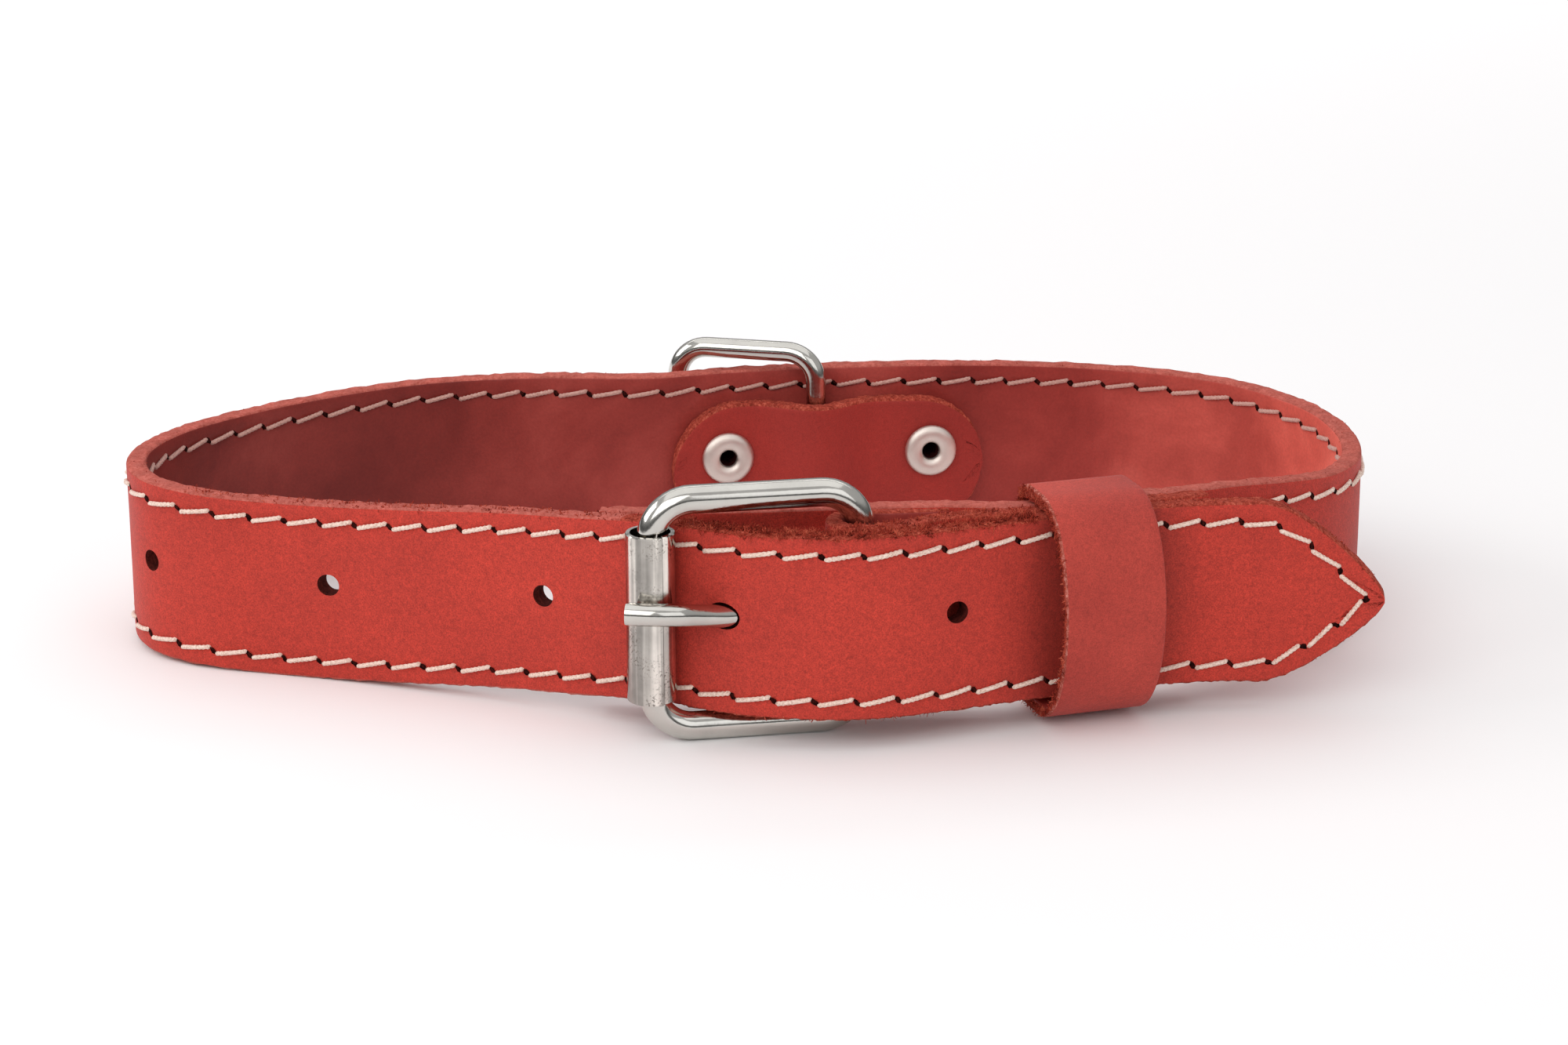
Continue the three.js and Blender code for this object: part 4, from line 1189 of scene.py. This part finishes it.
def keeper_outline(back, front, low, top, corner, belly, steps=26):
    """Closed outline of the keeper's section: flat back, rounded corners, bellied front."""
    middle = (low + top) / 2
    half = (top - low) / 2
    points = []

    def bezier(a, b, c, d):
        for k in range(steps):
            t = k / steps
            u = 1 - t
            weights = (u ** 3, 3 * u * u * t, 3 * u * t * t, t ** 3)
            points.append(tuple(sum(w * p[i] for w, p in zip(weights, (a, b, c, d))) for i in (0, 1)))

    def line(a, b, count):
        for k in range(count):
            t = k / count
            points.append((a[0] + (b[0] - a[0]) * t, a[1] + (b[1] - a[1]) * t))

    nose = front - belly
    shoulder = front - 0.3 * belly
    bend = 0.4 * corner
    line((back, low + corner), (back, top - corner), 16)
    bezier((back, top - corner), (back, top - bend), (back - bend, top), (back - corner, top))
    line((back - corner, top), (front + corner, top), 8)
    bezier((front + corner, top), (shoulder, top), (nose, middle + 0.55 * half), (nose, middle))
    bezier((nose, middle), (nose, middle - 0.55 * half), (shoulder, low), (front + corner, low))
    line((front + corner, low), (back - corner, low), 8)
    bezier((back - corner, low), (back - bend, low), (back, low + bend), (back, low + corner))
    return points


def along_keeper():
    turn = math.radians(KEEPER_TURN)
    return Vector((math.cos(turn), math.sin(turn), 0))


def keeper_outlines():
    """The outer and the inner outline of the keeper's section, round the three layers of leather."""
    back = 2 * (STRAP_LEATHER + GAP) + STRAP_LEATHER / 2 + GAP
    front = -(STRAP_LEATHER / 2 + GAP)
    top = STRAP_WIDTH / 2 + KEEPER_SLACK_TOP
    low = -STRAP_WIDTH / 2 - KEEPER_SLACK_LOW
    inner = keeper_outline(back, front, low, top, KEEPER_INNER_CORNER, KEEPER_BELLY)
    outer = keeper_outline(back + KEEPER_LEATHER, front - KEEPER_THINNED * KEEPER_LEATHER,
                           low - KEEPER_LEATHER, top + KEEPER_LEATHER, KEEPER_CORNER, KEEPER_BELLY)
    return outer, inner


def keeper_point(spot, w):
    """A place on the keeper, from a point of its section and the way along the strap."""
    direction = along_keeper()
    inward = Vector((-direction.y, direction.x, 0))
    centre = Vector((keeper_middle.x, keeper_middle.y, WIRE + GAP + STRAP_WIDTH / 2))
    ragged = 0
    if w < -KEEPER_WIDTH / 2 + 0.2 * MM:
        ragged = KEEPER_RAGGED * noise.noise(Vector((spot[0] * 900, spot[1] * 900, 2.0)))
    return centre + direction * (w + ragged) + inward * spot[0] + Vector((0, 0, spot[1]))


def make_keeper():
    """A leather loop with eased edges and a rough, frayed left edge."""
    outer, inner = keeper_outlines()
    half = KEEPER_WIDTH / 2
    left = [
        (-half, 0.16),
        (-half + 0.1 * MM, 0.06),
        (-half + KEEPER_EASE, 0),
        (-half * 0.8, 0),
        (-half * 0.5, 0),
    ]
    across = left + [(0, 0)] + [(-w, cut) for w, cut in reversed(left)]
    verts = []
    count = len(outer)
    sides = 2 * len(across)
    for i in range(count):
        o = Vector(outer[i])
        p = Vector(inner[i])
        verts += [keeper_point(o.lerp(p, cut), w) for w, cut in across]
        verts += [keeper_point(p.lerp(o, cut), w) for w, cut in reversed(across)]
    row = [3 if k < 2 else 0 if k < len(across) else 2 for k in range(sides)]
    row[len(across) - 1] = row[sides - 1] = 1
    faces = ring_faces(count, sides, True)
    piece = mesh_piece("keeper_leather", verts, faces, row * count, (KEEPER, EDGE, FLESH, KEEPER_RIM))
    sharpen(piece, 55)
    keep(merged("keeper_fibres", keeper_fray(outer, inner), FIBRE), "keeper_leather")
    return keep(piece, "keeper_leather", "keeper")


def keeper_fray(outer, inner):
    """Fibres on the keeper's left cut edge."""
    parts = []
    for _ in range(KEEPER_FIBRES):
        i = dice.randrange(len(outer))
        spot = Vector(outer[i]).lerp(Vector(inner[i]), dice.uniform(0.1, 0.95))
        place = keeper_point(spot, 0.05 * MM - KEEPER_WIDTH / 2)
        lead = -along_keeper() + Vector([dice.gauss(0, 0.7) for _ in range(3)])
        parts.append(fibre(place, lead, dice.uniform(0.25, 0.75) * MM))
    return parts


make_strap()
make_chape()
make_tab()
make_stitches()
make_fibres()
make_loop("frame_wire", "buckle_frame", "collar", roller_middle, hinge, FRAME_REACH, WIRE,
          FRAME_BEND, FRAME_SIDES)
make_roller()
make_prong()
make_loop("ring_wire", "ring", "ring", ring_bar, ring_far, (ring_far - ring_bar).length, RING_WIRE,
          RING_BEND, RING_SIDES)
make_rivet("rivet_left")
make_rivet("rivet_right")
make_keeper()


# Stage, light and camera

def make_floor():
    bpy.ops.mesh.primitive_plane_add(size=8, location=(0, 1.5, 0))
    floor = bpy.context.object
    floor.name = "floor"
    floor.data.materials.append(Nodes("floor").finish(FLOOR_COLOR, 0.6, Specular_IOR_Level=0.2))


def area_light(name, place, target, size, power, color):
    data = bpy.data.lights.new(name, "AREA")
    data.shape = "RECTANGLE"
    data.size, data.size_y = size
    data.energy = power
    data.color = color
    light = bpy.data.objects.new(name, data)
    light.location = place
    light.rotation_euler = (Vector(target) - Vector(place)).to_track_quat("-Z", "Y").to_euler()
    bpy.context.scene.collection.objects.link(light)


def make_world():
    """Bright overhead, darker near the horizon, so that the metal has something to reflect."""
    world = bpy.data.worlds.new("studio")
    bpy.context.scene.world = world
    world.use_nodes = True
    tree = world.node_tree
    background = tree.nodes["Background"]
    coords = tree.nodes.new("ShaderNodeTexCoord")
    split = tree.nodes.new("ShaderNodeSeparateXYZ")
    ramp = tree.nodes.new("ShaderNodeValToRGB")
    while len(ramp.color_ramp.elements) < len(SKY_TONES):
        ramp.color_ramp.elements.new(0.5)
    for element, (place, value) in zip(ramp.color_ramp.elements, SKY_TONES):
        element.position = place
        element.color = (value, value, value, 1)
    tree.links.new(coords.outputs["Generated"], split.inputs[0])
    tree.links.new(split.outputs["Z"], ramp.inputs[0])
    tree.links.new(ramp.outputs[0], background.inputs["Color"])
    background.inputs["Strength"].default_value = SKY_STRENGTH


def make_camera():
    data = bpy.data.cameras.new("camera")
    data.lens = CAMERA_LENS
    data.sensor_width = CAMERA_SENSOR
    data.sensor_fit = "HORIZONTAL"
    data.clip_start = 0.01
    data.clip_end = 30
    camera = bpy.data.objects.new("camera", data)
    bpy.context.scene.collection.objects.link(camera)
    tilt = Matrix.Rotation(math.radians(90 - CAMERA_PITCH), 4, "X")
    turn = tilt @ Matrix.Rotation(math.radians(CAMERA_ROLL), 4, "Z")
    place = Vector((roller_middle.x + CAMERA_RIGHT, roller_middle.y - CAMERA_FRONT, CAMERA_HEIGHT))
    camera.matrix_world = Matrix.Translation(place) @ turn
    bpy.context.scene.camera = camera


make_floor()
make_world()
for lamp in LAMPS:
    area_light(*lamp)
make_camera()
bpy.context.scene.view_settings.view_transform = "Standard"
